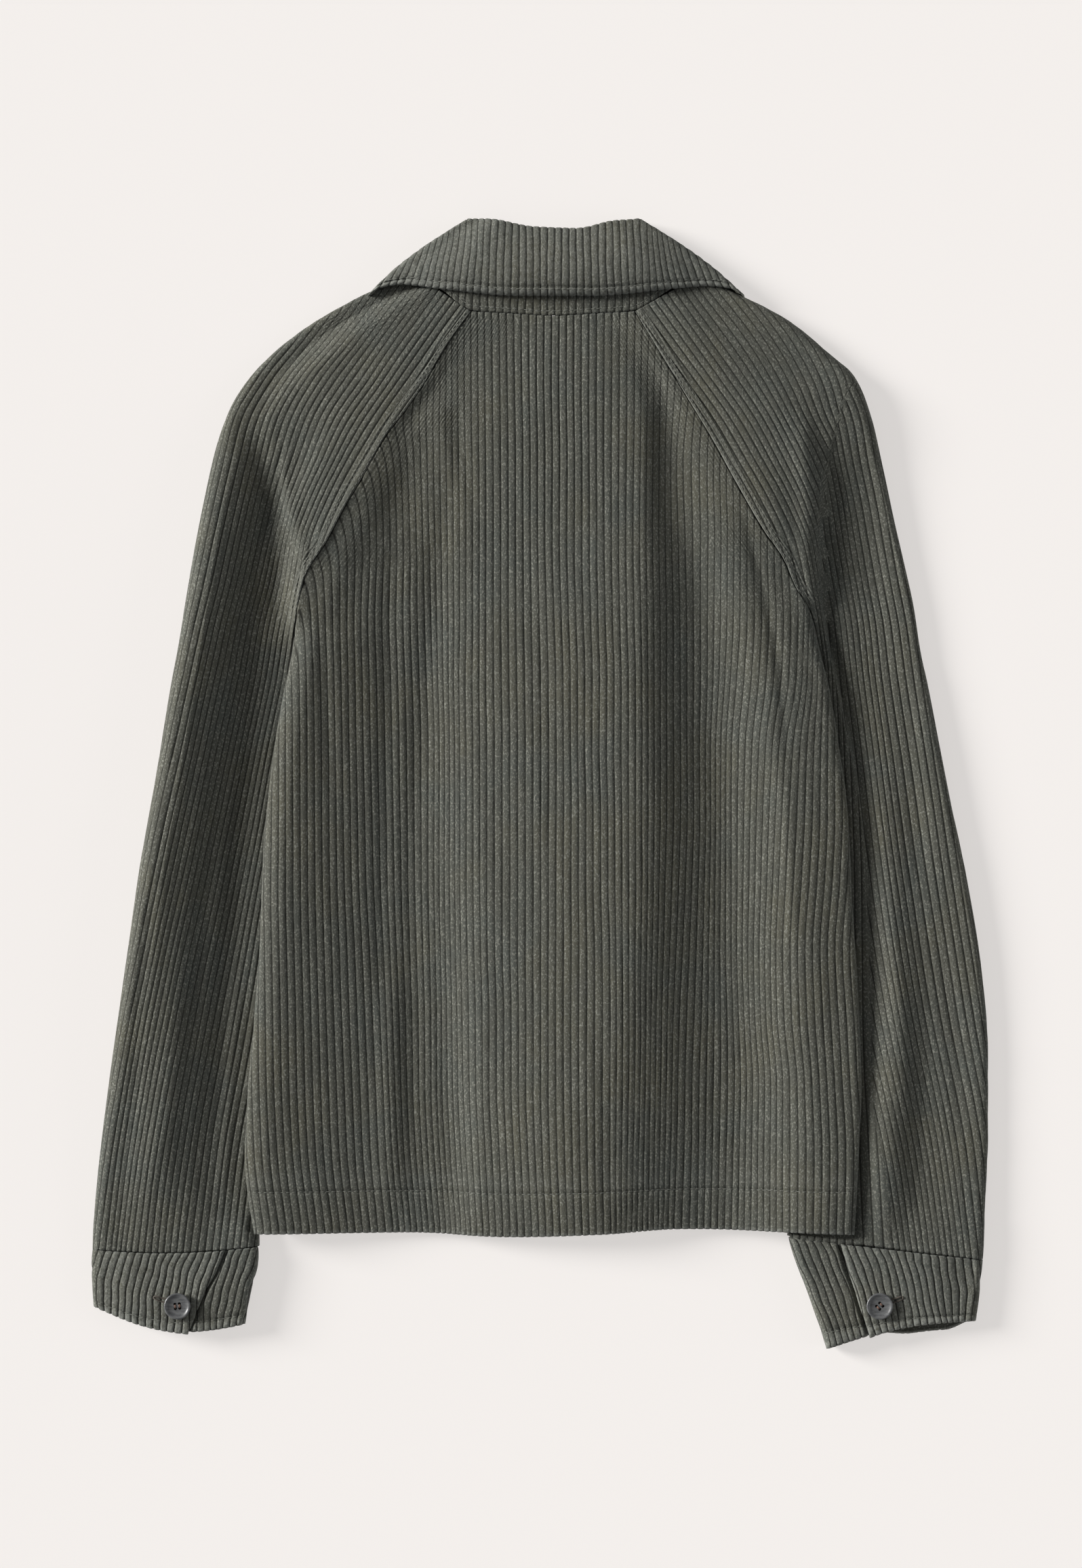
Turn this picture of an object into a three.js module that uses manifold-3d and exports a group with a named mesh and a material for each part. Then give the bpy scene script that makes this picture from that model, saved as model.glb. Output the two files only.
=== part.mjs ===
// A wide-wale corduroy jacket with raglan sleeves, laid flat on its front with its back up.
// Millimetres. +Z is up, +Y runs from the hem to the collar, and z = 0 is the surface it lies on.
// Left and right are the wearer's: seen from above, the left sleeve is at -X.
import * as THREE from "three";
import { mergeVertices } from "three/addons/utils/BufferGeometryUtils.js";
import Module from "manifold-3d";

// Driving sizes
const CLOTH = 2;
const CLOTH_DOUBLE = 3.2;
const SEAM_GAP = 0.3;
const CENTRE_X = 9;
const STRIP_WIDTH = 6;
const STRIP_RAISE = 0.8;
const EDGE_ROUND = 7;
const TUCK_CLEAR = 10.2;
const RAMP_WIDTH = 18;
const PLACKET_HALF = 16;
const BUTTON_DIAMETER = 18;
const BUTTON_THICK = 3;
const BUTTON_LIFT = BUTTON_THICK + SEAM_GAP;
const FRONT_BUTTON_TOP = 232;
const FRONT_BUTTON_PITCH = 118;
const FRONT_BUTTON_COUNT = 5;
const COLLAR_LAYER = 3.2;

// The body's two side edges. The sleeve lies beside the body at the underarm and slides under it below.
// bodyX: the body's edge. sleeveX: the sleeve's inner fold. lift: how high the front's edge is carried.
const SIDE_LEFT = [
  { y: 321.5, bodyX: -47, sleeveX: -47.4, lift: 0 },
  { y: 299, bodyX: -63, sleeveX: -63.5, lift: 0 },
  { y: 278, bodyX: -75, sleeveX: -75.5, lift: 0 },
  { y: 257, bodyX: -89, sleeveX: -89.5, lift: 0 },
  { y: 237, bodyX: -104, sleeveX: -104.5, lift: 0 },
  { y: 214, bodyX: -117, sleeveX: -117.5, lift: 0 },
  { y: 183, bodyX: -135, sleeveX: -135.5, lift: 0 },
  { y: 164, bodyX: -145, sleeveX: -145.5, lift: 0 },
  { y: 144, bodyX: -158, sleeveX: -158.5, lift: 0 },
  { y: 124, bodyX: -163.5, sleeveX: -164.2, lift: 0.5 },
  { y: 106, bodyX: -166, sleeveX: -166.8, lift: 3 },
  { y: 90, bodyX: -168.5, sleeveX: -169.5, lift: 8 },
  { y: 76, bodyX: -171, sleeveX: -171.8, lift: TUCK_CLEAR },
  { y: 60, bodyX: -174.5, sleeveX: -170, lift: TUCK_CLEAR },
  { y: 21, bodyX: -181, sleeveX: -171, lift: TUCK_CLEAR },
  { y: -40, bodyX: -187.5, sleeveX: -176, lift: TUCK_CLEAR },
  { y: -112, bodyX: -190.5, sleeveX: -180, lift: TUCK_CLEAR },
  { y: -157, bodyX: -194, sleeveX: -183, lift: TUCK_CLEAR },
  { y: -209, bodyX: -198.5, sleeveX: -187, lift: TUCK_CLEAR },
  { y: -253, bodyX: -200.5, sleeveX: -190, lift: TUCK_CLEAR },
  { y: -280, bodyX: -198, sleeveX: -190.5, lift: TUCK_CLEAR },
  { y: -305, bodyX: -194, sleeveX: -191, lift: TUCK_CLEAR },
  { y: -320, bodyX: -193, sleeveX: -191, lift: TUCK_CLEAR },
];
const SIDE_RIGHT = [
  { y: 321.5, bodyX: 64, sleeveX: 64.4, lift: 0 },
  { y: 290, bodyX: 83, sleeveX: 83.5, lift: 0 },
  { y: 258, bodyX: 102, sleeveX: 102.5, lift: 0 },
  { y: 233, bodyX: 117, sleeveX: 117.5, lift: 0 },
  { y: 198, bodyX: 136, sleeveX: 136.5, lift: 0 },
  { y: 171, bodyX: 152, sleeveX: 152.5, lift: 0 },
  { y: 154, bodyX: 164, sleeveX: 164.5, lift: 0 },
  { y: 135, bodyX: 172.5, sleeveX: 173.2, lift: 0.5 },
  { y: 115, bodyX: 184, sleeveX: 185, lift: 3 },
  { y: 98, bodyX: 188, sleeveX: 189, lift: 8 },
  { y: 84, bodyX: 191.5, sleeveX: 192.3, lift: TUCK_CLEAR },
  { y: 68, bodyX: 195.5, sleeveX: 191, lift: TUCK_CLEAR },
  { y: 24, bodyX: 203, sleeveX: 192, lift: TUCK_CLEAR },
  { y: -17, bodyX: 208.5, sleeveX: 192, lift: TUCK_CLEAR },
  { y: -86, bodyX: 212, sleeveX: 189, lift: TUCK_CLEAR },
  { y: -130, bodyX: 215, sleeveX: 186, lift: TUCK_CLEAR },
  { y: -200, bodyX: 218, sleeveX: 178, lift: TUCK_CLEAR },
  { y: -253, bodyX: 216, sleeveX: 172, lift: TUCK_CLEAR },
  { y: -305, bodyX: 213, sleeveX: 168, lift: TUCK_CLEAR },
  { y: -320, bodyX: 212, sleeveX: 166, lift: TUCK_CLEAR },
];
const UNDERARM_LEFT_Y = 106;
const UNDERARM_RIGHT_Y = 115;

// The back's folds, one row for each level: a long trough at the left, the high middle, a trough at the
// right and the ridge beside it. Each has its place across (x) and its height (z).
const BACK_FOLDS = [
  { y: 325, leftZ: 14, troughX: -30, troughZ: 14, slopeX: -12, slopeZ: 14, midX: 20, midZ: 14,
    rightTroughX: 40, rightTroughZ: 14, ridgeX: 52, ridgeZ: 14, rightZ: 14 },
  { y: 275, leftZ: 19, troughX: -66, troughZ: 17.5, slopeX: -45, slopeZ: 18.2, midX: 58, midZ: 19.5,
    rightTroughX: 79, rightTroughZ: 18.2, ridgeX: 86, ridgeZ: 19, rightZ: 19 },
  { y: 248, leftZ: 20, troughX: -86, troughZ: 18.4, slopeX: -68, slopeZ: 19.6, midX: 64, midZ: 21,
    rightTroughX: 84, rightTroughZ: 18, ridgeX: 98, ridgeZ: 20, rightZ: 20.5 },
  { y: 192, leftZ: 23, troughX: -91, troughZ: 18.6, slopeX: -45, slopeZ: 20.5, midX: 61, midZ: 23,
    rightTroughX: 87, rightTroughZ: 18.6, ridgeX: 124, ridgeZ: 21.5, rightZ: 22 },
  { y: 137, leftZ: 22, troughX: -73, troughZ: 16, slopeX: -42, slopeZ: 18.5, midX: 60, midZ: 24,
    rightTroughX: 103, rightTroughZ: 17, ridgeX: 138, ridgeZ: 21, rightZ: 19 },
  { y: 54, leftZ: 23, troughX: -81, troughZ: 13.5, slopeX: -45, slopeZ: 17.5, midX: 52, midZ: 23,
    rightTroughX: 115, rightTroughZ: 15, ridgeX: 161, ridgeZ: 20, rightZ: 19 },
  { y: -1, leftZ: 22.5, troughX: -81, troughZ: 13, slopeX: -45, slopeZ: 17.5, midX: 58, midZ: 23,
    rightTroughX: 119, rightTroughZ: 14.5, ridgeX: 171, ridgeZ: 20, rightZ: 18.5 },
  { y: -111, leftZ: 21, troughX: -86, troughZ: 12, slopeX: -46, slopeZ: 18, midX: 50, midZ: 24,
    rightTroughX: 125, rightTroughZ: 13.5, ridgeX: 180, ridgeZ: 19.5, rightZ: 18 },
  { y: -221, leftZ: 19, troughX: -85, troughZ: 10.5, slopeX: -48, slopeZ: 16.5, midX: 33, midZ: 23.5,
    rightTroughX: 131, rightTroughZ: 11.5, ridgeX: 185, ridgeZ: 18.5, rightZ: 17.5 },
  { y: -277, leftZ: 18.5, troughX: -86, troughZ: 11, slopeX: -49, slopeZ: 15, midX: 34, midZ: 21,
    rightTroughX: 121, rightTroughZ: 13, ridgeX: 188, ridgeZ: 19, rightZ: 18.5 },
  { y: -306, leftZ: 18, troughX: -86, troughZ: 10, slopeX: -49, slopeZ: 13, midX: 34, midZ: 18,
    rightTroughX: 115, rightTroughZ: 11.5, ridgeX: 182, ridgeZ: 18.5, rightZ: 18 },
];

// Each sleeve's rows, from the neck edge to the cuff seam. A row starts on the raglan seam, or on the
// inner fold below the underarm (inX, inY), and ends on the outer fold (outX, outY). h0 to h5 are the
// heights of its upper side, from the inner end to the outer fold, at the fractions in SLEEVE_ACROSS.
const SLEEVE_ACROSS = [0, 0.12, 0.3, 0.5, 0.7, 0.9];
const SLEEVE_LEFT = [
  { inY: 321.5, outX: -85, outY: 347, h0: 14, h1: 14, h2: 14, h3: 13.5, h4: 13, h5: 12 },
  { inY: 299, outX: -109.5, outY: 333, h0: 17, h1: 16.5, h2: 16, h3: 15, h4: 14, h5: 12 },
  { inY: 270, outX: -151, outY: 314, h0: 19, h1: 19, h2: 18.5, h3: 17, h4: 16, h5: 13 },
  { inY: 247, outX: -176, outY: 297, h0: 20, h1: 20, h2: 20, h3: 19, h4: 17, h5: 14 },
  { inY: 222, outX: -195, outY: 279, h0: 21.5, h1: 21, h2: 20, h3: 18.5, h4: 16, h5: 15 },
  { inY: 196, outX: -210, outY: 257, h0: 23, h1: 22, h2: 20, h3: 17, h4: 15, h5: 17 },
  { inY: 170, outX: -220, outY: 230, h0: 23.5, h1: 22, h2: 18, h3: 15, h4: 16, h5: 20 },
  { inY: 146, outX: -229, outY: 190, h0: 22.5, h1: 20, h2: 15, h3: 16, h4: 19.5, h5: 22 },
  { inY: 124, outX: -236, outY: 153, h0: 19, h1: 16, h2: 14, h3: 16.5, h4: 20, h5: 23 },
  { inY: 106, outX: -241, outY: 123, h0: 15, h1: 13, h2: 13, h3: 17, h4: 21, h5: 23.5 },
  { inY: 84, outX: -245, outY: 98, h0: 9.5, h1: 9.5, h2: 12, h3: 17, h4: 21, h5: 24 },
  { inY: 60, outX: -250, outY: 71, h0: 9, h1: 9, h2: 12, h3: 16.5, h4: 21, h5: 24 },
  { inY: 0, outX: -261, outY: 5, h0: 9, h1: 9, h2: 11.5, h3: 16, h4: 21, h5: 24 },
  { inY: -60, outX: -272, outY: -57, h0: 9, h1: 9, h2: 10.5, h3: 15, h4: 20, h5: 24 },
  { inY: -120, outX: -281, outY: -119, h0: 9, h1: 9, h2: 10.5, h3: 14.5, h4: 20, h5: 23 },
  { inY: -180, outX: -290, outY: -181, h0: 9, h1: 9, h2: 11, h3: 15.5, h4: 20.5, h5: 21 },
  { inY: -230, outX: -297, outY: -232, h0: 9, h1: 9, h2: 11.5, h3: 16, h4: 20, h5: 18.5 },
  { inY: -275, outX: -302, outY: -276, h0: 9, h1: 9, h2: 10.5, h3: 14.5, h4: 16.5, h5: 15.5 },
  { inY: -300, outX: -304, outY: -300, h0: 9, h1: 9.2, h2: 11, h3: 14, h4: 15, h5: 14 },
  { inY: -313, outX: -304.5, outY: -315, h0: 9, h1: 10, h2: 12.5, h3: 13.5, h4: 13.5, h5: 13 },
];
const SLEEVE_RIGHT = [
  { inY: 321.5, outX: 109, outY: 347, h0: 14, h1: 14, h2: 14, h3: 13.5, h4: 13, h5: 12 },
  { inY: 295, outX: 131, outY: 330, h0: 17, h1: 17, h2: 17, h3: 16, h4: 14, h5: 12 },
  { inY: 270, outX: 166, outY: 315, h0: 19, h1: 19, h2: 19, h3: 17.5, h4: 15.5, h5: 12.5 },
  { inY: 258, outX: 192, outY: 295, h0: 20, h1: 20, h2: 20, h3: 18, h4: 16, h5: 13 },
  { inY: 233, outX: 212, outY: 277, h0: 21, h1: 21, h2: 21, h3: 20, h4: 17.5, h5: 14 },
  { inY: 204, outX: 223, outY: 250, h0: 22, h1: 22, h2: 22, h3: 20, h4: 15.5, h5: 13 },
  { inY: 177, outX: 231, outY: 216, h0: 22.5, h1: 22, h2: 20, h3: 16, h4: 12.5, h5: 13 },
  { inY: 154, outX: 239, outY: 181, h0: 21.5, h1: 19, h2: 15, h3: 12.5, h4: 13, h5: 14 },
  { inY: 133, outX: 245.5, outY: 152, h0: 18.5, h1: 15, h2: 11.5, h3: 12, h4: 14, h5: 14 },
  { inY: 115, outX: 252, outY: 122, h0: 14, h1: 11, h2: 10, h3: 12, h4: 14, h5: 14 },
  { inY: 92, outX: 256, outY: 95, h0: 9.5, h1: 9.5, h2: 10, h3: 12, h4: 14, h5: 14 },
  { inY: 68, outX: 261, outY: 71, h0: 9, h1: 9, h2: 9.5, h3: 12, h4: 14.5, h5: 14 },
  { inY: 0, outX: 275, outY: 0, h0: 9, h1: 9, h2: 9, h3: 12, h4: 15, h5: 14.5 },
  { inY: -60, outX: 288, outY: -62, h0: 9, h1: 9, h2: 9, h3: 12.5, h4: 16, h5: 15 },
  { inY: -120, outX: 298, outY: -123, h0: 9, h1: 9, h2: 9, h3: 13, h4: 16, h5: 15 },
  { inY: -180, outX: 303.5, outY: -182, h0: 9, h1: 9, h2: 9, h3: 12.5, h4: 15.5, h5: 15 },
  { inY: -235, outX: 304, outY: -238, h0: 9, h1: 9, h2: 9, h3: 12, h4: 15, h5: 15 },
  { inY: -275, outX: 302, outY: -280, h0: 9, h1: 9, h2: 9, h3: 11, h4: 13.5, h5: 15 },
  { inY: -300, outX: 301.5, outY: -308, h0: 9, h1: 9, h2: 9.5, h3: 11, h4: 13, h5: 14 },
  { inY: -306, outX: 301, outY: -322, h0: 9, h1: 9.3, h2: 10.5, h3: 12.5, h4: 13.5, h5: 13 },
];

// The cuffs, from the cuff seam to the mouth: their inner and outer folds, and where the buttoned end lies
// across them (lap, as a fraction from the inner fold). bow is how far the mouth sags past a straight line.
const CUFF_LEFT = [
  { inX: -191.3, inY: -313.4, outX: -304.5, outY: -315.4, lap: 0.2, bow: 3 },
  { inX: -191.8, inY: -324, outX: -305.3, outY: -327, lap: 0.24, bow: 4 },
  { inX: -196, inY: -340, outX: -304.8, outY: -340, lap: 0.3, bow: 6 },
  { inX: -200.5, inY: -362, outX: -304, outY: -354, lap: 0.37, bow: 13 },
];
const CUFF_RIGHT = [
  { inX: 168, inY: -307.2, outX: 301, outY: -323, lap: 0.27, bow: 0 },
  { inX: 172.5, inY: -321, outX: 300, outY: -334, lap: 0.27, bow: 0 },
  { inX: 182, inY: -346, outX: 298.5, outY: -348, lap: 0.28, bow: 1 },
  { inX: 194.5, inY: -383, outX: 296.5, outY: -364, lap: 0.28, bow: -2 },
];
const CUFF_CLOTH = 3.4;
const CUFF_UNDER_TOP = 10.5;
const CUFF_TOP = CUFF_UNDER_TOP + CUFF_CLOTH + 0.4;
const CUFF_ROUND = 5;
const CUFF_LAP_HIDDEN = 0.16;
const CUFF_BUTTONS = {
  left: { x: -246, y: -353 },
  right: { x: 230, y: -353 },
};

// The collar's turned-down leaf and its stand lie flat with a crease at each side of the neck. across runs
// from the left crease (-1) to the right one (1); fold is the edge at the top, edge is the outer edge.
const LEAF_BACK = [
  { across: -1, foldX: -50, foldY: 385, edgeX: -117, edgeY: 335 },
  { across: -0.6, foldX: -33, foldY: 383, edgeX: -68, edgeY: 336 },
  { across: -0.2, foldX: -4, foldY: 377.5, edgeX: -14, edgeY: 331.5 },
  { across: 0.2, foldX: 24, foldY: 376.5, edgeX: 36, edgeY: 331.5 },
  { across: 0.6, foldX: 50, foldY: 382, edgeX: 90, edgeY: 336.5 },
  { across: 1, foldX: 68, foldY: 383, edgeX: 139, edgeY: 331.5 },
];
const LEAF_FRONT_LEFT = [
  { across: -1, foldX: -50, foldY: 385, edgeX: -117, edgeY: 335 },
  { across: -0.5, foldX: -32, foldY: 358, edgeX: -92, edgeY: 298 },
  { across: 0, foldX: 5, foldY: 336, edgeX: -52, edgeY: 263 },
];
const STAND_BACK = [
  { across: -1, foldX: -44, foldY: 376, edgeX: -84.4, edgeY: 347.9 },
  { across: -0.8, foldX: -36, foldY: 376, edgeX: -65.4, edgeY: 335.2 },
  { across: -0.6, foldX: -28, foldY: 375, edgeX: -46.6, edgeY: 322.4 },
  { across: -0.3, foldX: -11, foldY: 372, edgeX: -19, edgeY: 320.6 },
  { across: 0, foldX: 9, foldY: 369.5, edgeX: 9, edgeY: 319.1 },
  { across: 0.3, foldX: 28, foldY: 372, edgeX: 37, edgeY: 320.6 },
  { across: 0.6, foldX: 45, foldY: 375, edgeX: 63.6, edgeY: 322.4 },
  { across: 0.8, foldX: 53, foldY: 376, edgeX: 86, edgeY: 335.2 },
  { across: 1, foldX: 62, foldY: 376, edgeX: 108.4, edgeY: 347.9 },
];
const STAND_FRONT_LEFT = [
  { across: -1, foldX: -44, foldY: 376, edgeX: -84.4, edgeY: 347.9 },
  { across: -0.75, foldX: -29, foldY: 360, edgeX: -65.4, edgeY: 335.2 },
  { across: -0.5, foldX: -20, foldY: 347.5, edgeX: -46.6, edgeY: 322.4 },
  { across: 0, foldX: 8, foldY: 329.5, edgeX: 8, edgeY: 303 },
];
const LEAF_LEVEL = { top: 19, foldTop: 17, bottom: 0 };
const STAND_LEVEL = { top: 14, foldTop: 14, bottom: COLLAR_LAYER };
const COLLAR_ACROSS = [0, 0.25, 0.5, 0.7, 0.84, 0.92, 0.97, 0.992, 1];
const COLLAR_SQUARENESS = 10;
const NECK_LINE = [
  { x: -47, y: 321.5 },
  { x: -19, y: 320 },
  { x: 9, y: 318.5 },
  { x: 37, y: 320 },
  { x: 64, y: 321.5 },
];
const NECK_BACK_Y = 321.5;
const NECK_FRONT_Y = 302.4;
const HEM_LINE = [
  { x: -194, y: -304.5 },
  { x: -91, y: -304 },
  { x: -24, y: -306.5 },
  { x: 42, y: -304.5 },
  { x: 93, y: -301.5 },
  { x: 160, y: -303 },
  { x: 213, y: -305 },
];

const CORDUROY = { color: 0x4c4d46, roughness: 0.95, metalness: 0 };
const HORN = { color: 0x56575a, roughness: 0.35, metalness: 0 };
const jacket = new THREE.Group();

// Small helpers for smooth steps and for curves through a table's rows
function clamp01(value) {
  return Math.min(1, Math.max(0, value));
}

function ease(value) {
  const t = clamp01(value);
  return t * t * (3 - 2 * t);
}

function mix(a, b, t) {
  return a + (b - a) * t;
}

function curveThrough(knots, values, at) {
  const last = knots.length - 1;
  const rising = knots[last] > knots[0] ? 1 : -1;
  if ((at - knots[0]) * rising <= 0) return values[0];
  if ((at - knots[last]) * rising >= 0) return values[last];
  let k = 0;
  while ((at - knots[k + 1]) * rising > 0) k += 1;
  const grade = (i) => (values[i + 1] - values[i]) / (knots[i + 1] - knots[i]);
  const slopeAt = (i) => {
    if (i === 0) return grade(0);
    if (i === last) return grade(last - 1);
    const before = grade(i - 1);
    const after = grade(i);
    return before * after <= 0 ? 0 : (2 * before * after) / (before + after);
  };
  const span = knots[k + 1] - knots[k];
  const t = (at - knots[k]) / span;
  const startPart = (1 + 2 * t) * (1 - t) * (1 - t) * values[k] + t * (1 - t) * (1 - t) * span * slopeAt(k);
  const endPart = t * t * (3 - 2 * t) * values[k + 1] + t * t * (t - 1) * span * slopeAt(k + 1);
  return startPart + endPart;
}

function column(table, name, at, by) {
  return curveThrough(table.map((row) => row[by]), table.map((row) => row[name]), at);
}

function rowBetween(table, name, place) {
  return curveThrough(table.map((row, index) => index), table.map((row) => row[name]), place);
}

// A quarter round: from mid height at the fold itself to full height EDGE_ROUND in from it
function roundedEdge(inFromFold, round) {
  const rest = 1 - clamp01(inFromFold / round);
  return Math.sqrt(Math.max(0, 1 - rest * rest));
}

// Makes a closed cloth wall from a grid of points on its outer side. facing is 1 where the grid's own
// normal points out of the cloth, else -1. normalAt may give the direction of a seam edge's thickness.
function clothWall(name, grid, facing, thicknessAt, normalAt = () => null) {
  const rows = grid.length;
  const columns = grid[0].length;
  const positions = [];
  const inner = [];
  for (let i = 0; i < rows; i += 1) {
    for (let j = 0; j < columns; j += 1) {
      const along = grid[Math.min(i + 1, rows - 1)][j].clone().sub(grid[Math.max(i - 1, 0)][j]);
      const across = grid[i][Math.min(j + 1, columns - 1)].clone().sub(grid[i][Math.max(j - 1, 0)]);
      const normal = normalAt(i, j) ?? along.cross(across).multiplyScalar(facing).normalize();
      const point = grid[i][j];
      positions.push(point.x, point.y, point.z);
      const back = point.clone().addScaledVector(normal, -thicknessAt(i, j));
      inner.push(back.x, back.y, back.z);
    }
  }
  const offset = rows * columns;
  const indices = [];
  const addTriangle = (a, b, c) => {
    if (facing > 0) indices.push(a, b, c);
    else indices.push(a, c, b);
  };
  const at = (i, j) => i * columns + j;
  for (let i = 0; i < rows - 1; i += 1) {
    for (let j = 0; j < columns - 1; j += 1) {
      addTriangle(at(i, j), at(i + 1, j), at(i + 1, j + 1));
      addTriangle(at(i, j), at(i + 1, j + 1), at(i, j + 1));
      addTriangle(offset + at(i, j), offset + at(i + 1, j + 1), offset + at(i + 1, j));
      addTriangle(offset + at(i, j), offset + at(i, j + 1), offset + at(i + 1, j + 1));
    }
  }
  const addRim = (a, b) => {
    addTriangle(b, a, offset + a);
    addTriangle(b, offset + a, offset + b);
  };
  for (let i = 0; i < rows - 1; i += 1) {
    addRim(at(i, 0), at(i + 1, 0));
    addRim(at(i + 1, columns - 1), at(i, columns - 1));
  }
  for (let j = 0; j < columns - 1; j += 1) {
    addRim(at(rows - 1, j), at(rows - 1, j + 1));
    addRim(at(0, j + 1), at(0, j));
  }
  const geometry = new THREE.BufferGeometry();
  geometry.setAttribute("position", new THREE.Float32BufferAttribute([...positions, ...inner], 3));
  geometry.setIndex(indices);
  geometry.computeVertexNormals();
  addPiece(name, geometry, CORDUROY);
}

function addPiece(name, geometry, finish) {
  const mesh = new THREE.Mesh(geometry, new THREE.MeshStandardMaterial(finish));
  mesh.name = name;
  jacket.add(mesh);
  return mesh;
}

// How far the front's cloth and the sleeves' undersides are carried where the collar's points lie below
const COLLAR_POINT_Y = 238;
const COLLAR_POINT_REACH = 150;
const COVER_RAMP = 15;

function collarCover(x, y) {
  const along = ease((y - COLLAR_POINT_Y) / COVER_RAMP);
  const across = ease((COLLAR_POINT_REACH - Math.abs(x - CENTRE_X)) / COVER_RAMP);
  return COLLAR_LAYER * along * across;
}

// 0 above an underarm, where the body's edge is the raglan seam, and 1 below it, where the edge folds over
const FOLD_OVER_REACH = 9;

function foldOver(y, underarmY) {
  return ease((underarmY + FOLD_OVER_REACH - y) / (2 * FOLD_OVER_REACH));
}

function bodyEdges(y) {
  return {
    left: column(SIDE_LEFT, "bodyX", y, "y"),
    right: column(SIDE_RIGHT, "bodyX", y, "y"),
    leftSleeve: column(SIDE_LEFT, "sleeveX", y, "y"),
    rightSleeve: column(SIDE_RIGHT, "sleeveX", y, "y"),
    leftLift: column(SIDE_LEFT, "lift", y, "y"),
    rightLift: column(SIDE_RIGHT, "lift", y, "y"),
    leftOver: foldOver(y, UNDERARM_LEFT_Y),
    rightOver: foldOver(y, UNDERARM_RIGHT_Y),
  };
}

function hemY(x) {
  return column(HEM_LINE, "y", x, "x");
}

// The levels of the body's rows, from the neck (0) to the hem (1), closer together at the underarms
const BODY_LEVELS = [
  NECK_BACK_Y, 300, 277, 254, 230, 206, 182, 162, 144, 128, 114, 103, 92, 80, 66, 42, 8, -35,
  -80, -125, -170, -215, -250, -273, -277, -304,
];
const HEM_TURN_Y = -274;

const HEM_LEVEL = -304;
const HEM_CURVE_FROM = -240;
const NECK_CURVE_FROM = 290;

function levelY(level, x) {
  const hemShare = ease((HEM_CURVE_FROM - level) / 60);
  const neckShare = ease((level - NECK_CURVE_FROM) / 30);
  const neckDip = (column(NECK_LINE, "y", x, "x") - NECK_BACK_Y) * neckShare;
  return level + (hemY(x) - HEM_LEVEL) * hemShare + neckDip;
}

function backHeight(x, y, edges) {
  const fold = (name) => column(BACK_FOLDS, name, y, "y");
  const places = [edges.left + EDGE_ROUND, fold("troughX"), fold("slopeX"), fold("midX"),
    fold("rightTroughX"), fold("ridgeX"), edges.right - EDGE_ROUND];
  for (let k = 1; k < places.length; k += 1) places[k] = Math.max(places[k], places[k - 1] + 1);
  const heights = ["leftZ", "troughZ", "slopeZ", "midZ", "rightTroughZ", "ridgeZ", "rightZ"].map(fold);
  return curveThrough(places, heights, x);
}

const EDGE_STEPS = [0, 0.8, 3, EDGE_ROUND];
const BACK_INNER_COLUMNS = 28;

function backPanel() {
  const seamNormals = [];
  const grid = BODY_LEVELS.map((level) => {
    const edges = bodyEdges(level);
    const places = [];
    for (const step of EDGE_STEPS) places.push(edges.left + step);
    for (let k = 1; k < BACK_INNER_COLUMNS; k += 1) {
      places.push(mix(edges.left + EDGE_ROUND, edges.right - EDGE_ROUND, k / BACK_INNER_COLUMNS));
    }
    for (const step of [...EDGE_STEPS].reverse()) places.push(edges.right - step);
    seamNormals.push({
      left: new THREE.Vector3(-edges.leftOver, 0, 1 - edges.leftOver).normalize(),
      right: new THREE.Vector3(edges.rightOver, 0, 1 - edges.rightOver).normalize(),
    });
    return places.map((x) => {
      const top = backHeight(x, level, edges);
      const nearLeft = x < CENTRE_X;
      const lift = nearLeft ? edges.leftLift : edges.rightLift;
      const over = nearLeft ? edges.leftOver : edges.rightOver;
      const inFromFold = nearLeft ? x - edges.left : edges.right - x;
      const middle = mix(lift, top, 0.5) + SEAM_GAP / 2;
      const rounded = middle + (top - middle) * roundedEdge(inFromFold, EDGE_ROUND);
      return new THREE.Vector3(x, levelY(level, x), mix(top, rounded, over));
    });
  });
  const lastColumn = grid[0].length - 1;
  const folded = EDGE_STEPS.length;
  const thickness = (i, j) => {
    const inHem = BODY_LEVELS[i] < HEM_TURN_Y && j >= folded && j <= lastColumn - folded;
    return inHem ? CLOTH_DOUBLE : CLOTH;
  };
  clothWall("back", grid, 1, thickness, (i, j) => {
    if (j === 0) return seamNormals[i].left;
    return j === lastColumn ? seamNormals[i].right : null;
  });
}

function frontHeight(x, y, edges, onTop) {
  const sideLift = x < CENTRE_X
    ? edges.leftLift * ease((edges.leftSleeve + RAMP_WIDTH + 1.5 - x) / RAMP_WIDTH)
    : edges.rightLift * ease((x - edges.rightSleeve + RAMP_WIDTH + 1.5) / RAMP_WIDTH);
  const fromCentre = x - CENTRE_X;
  const buttons = BUTTON_LIFT * ease((FRONT_BUTTON_TOP + 32 - y) / 16);
  const hemExtra = (CLOTH_DOUBLE - CLOTH) * ease((HEM_TURN_Y + 12 - y) / 8);
  if (onTop) {
    const share = ease((fromCentre + PLACKET_HALF + 10) / 9);
    return sideLift + collarCover(x, y) + share * (buttons + CLOTH + SEAM_GAP + hemExtra);
  }
  return sideLift + collarCover(x, y) + buttons * ease((PLACKET_HALF + 8 - fromCentre) / 8);
}

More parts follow.
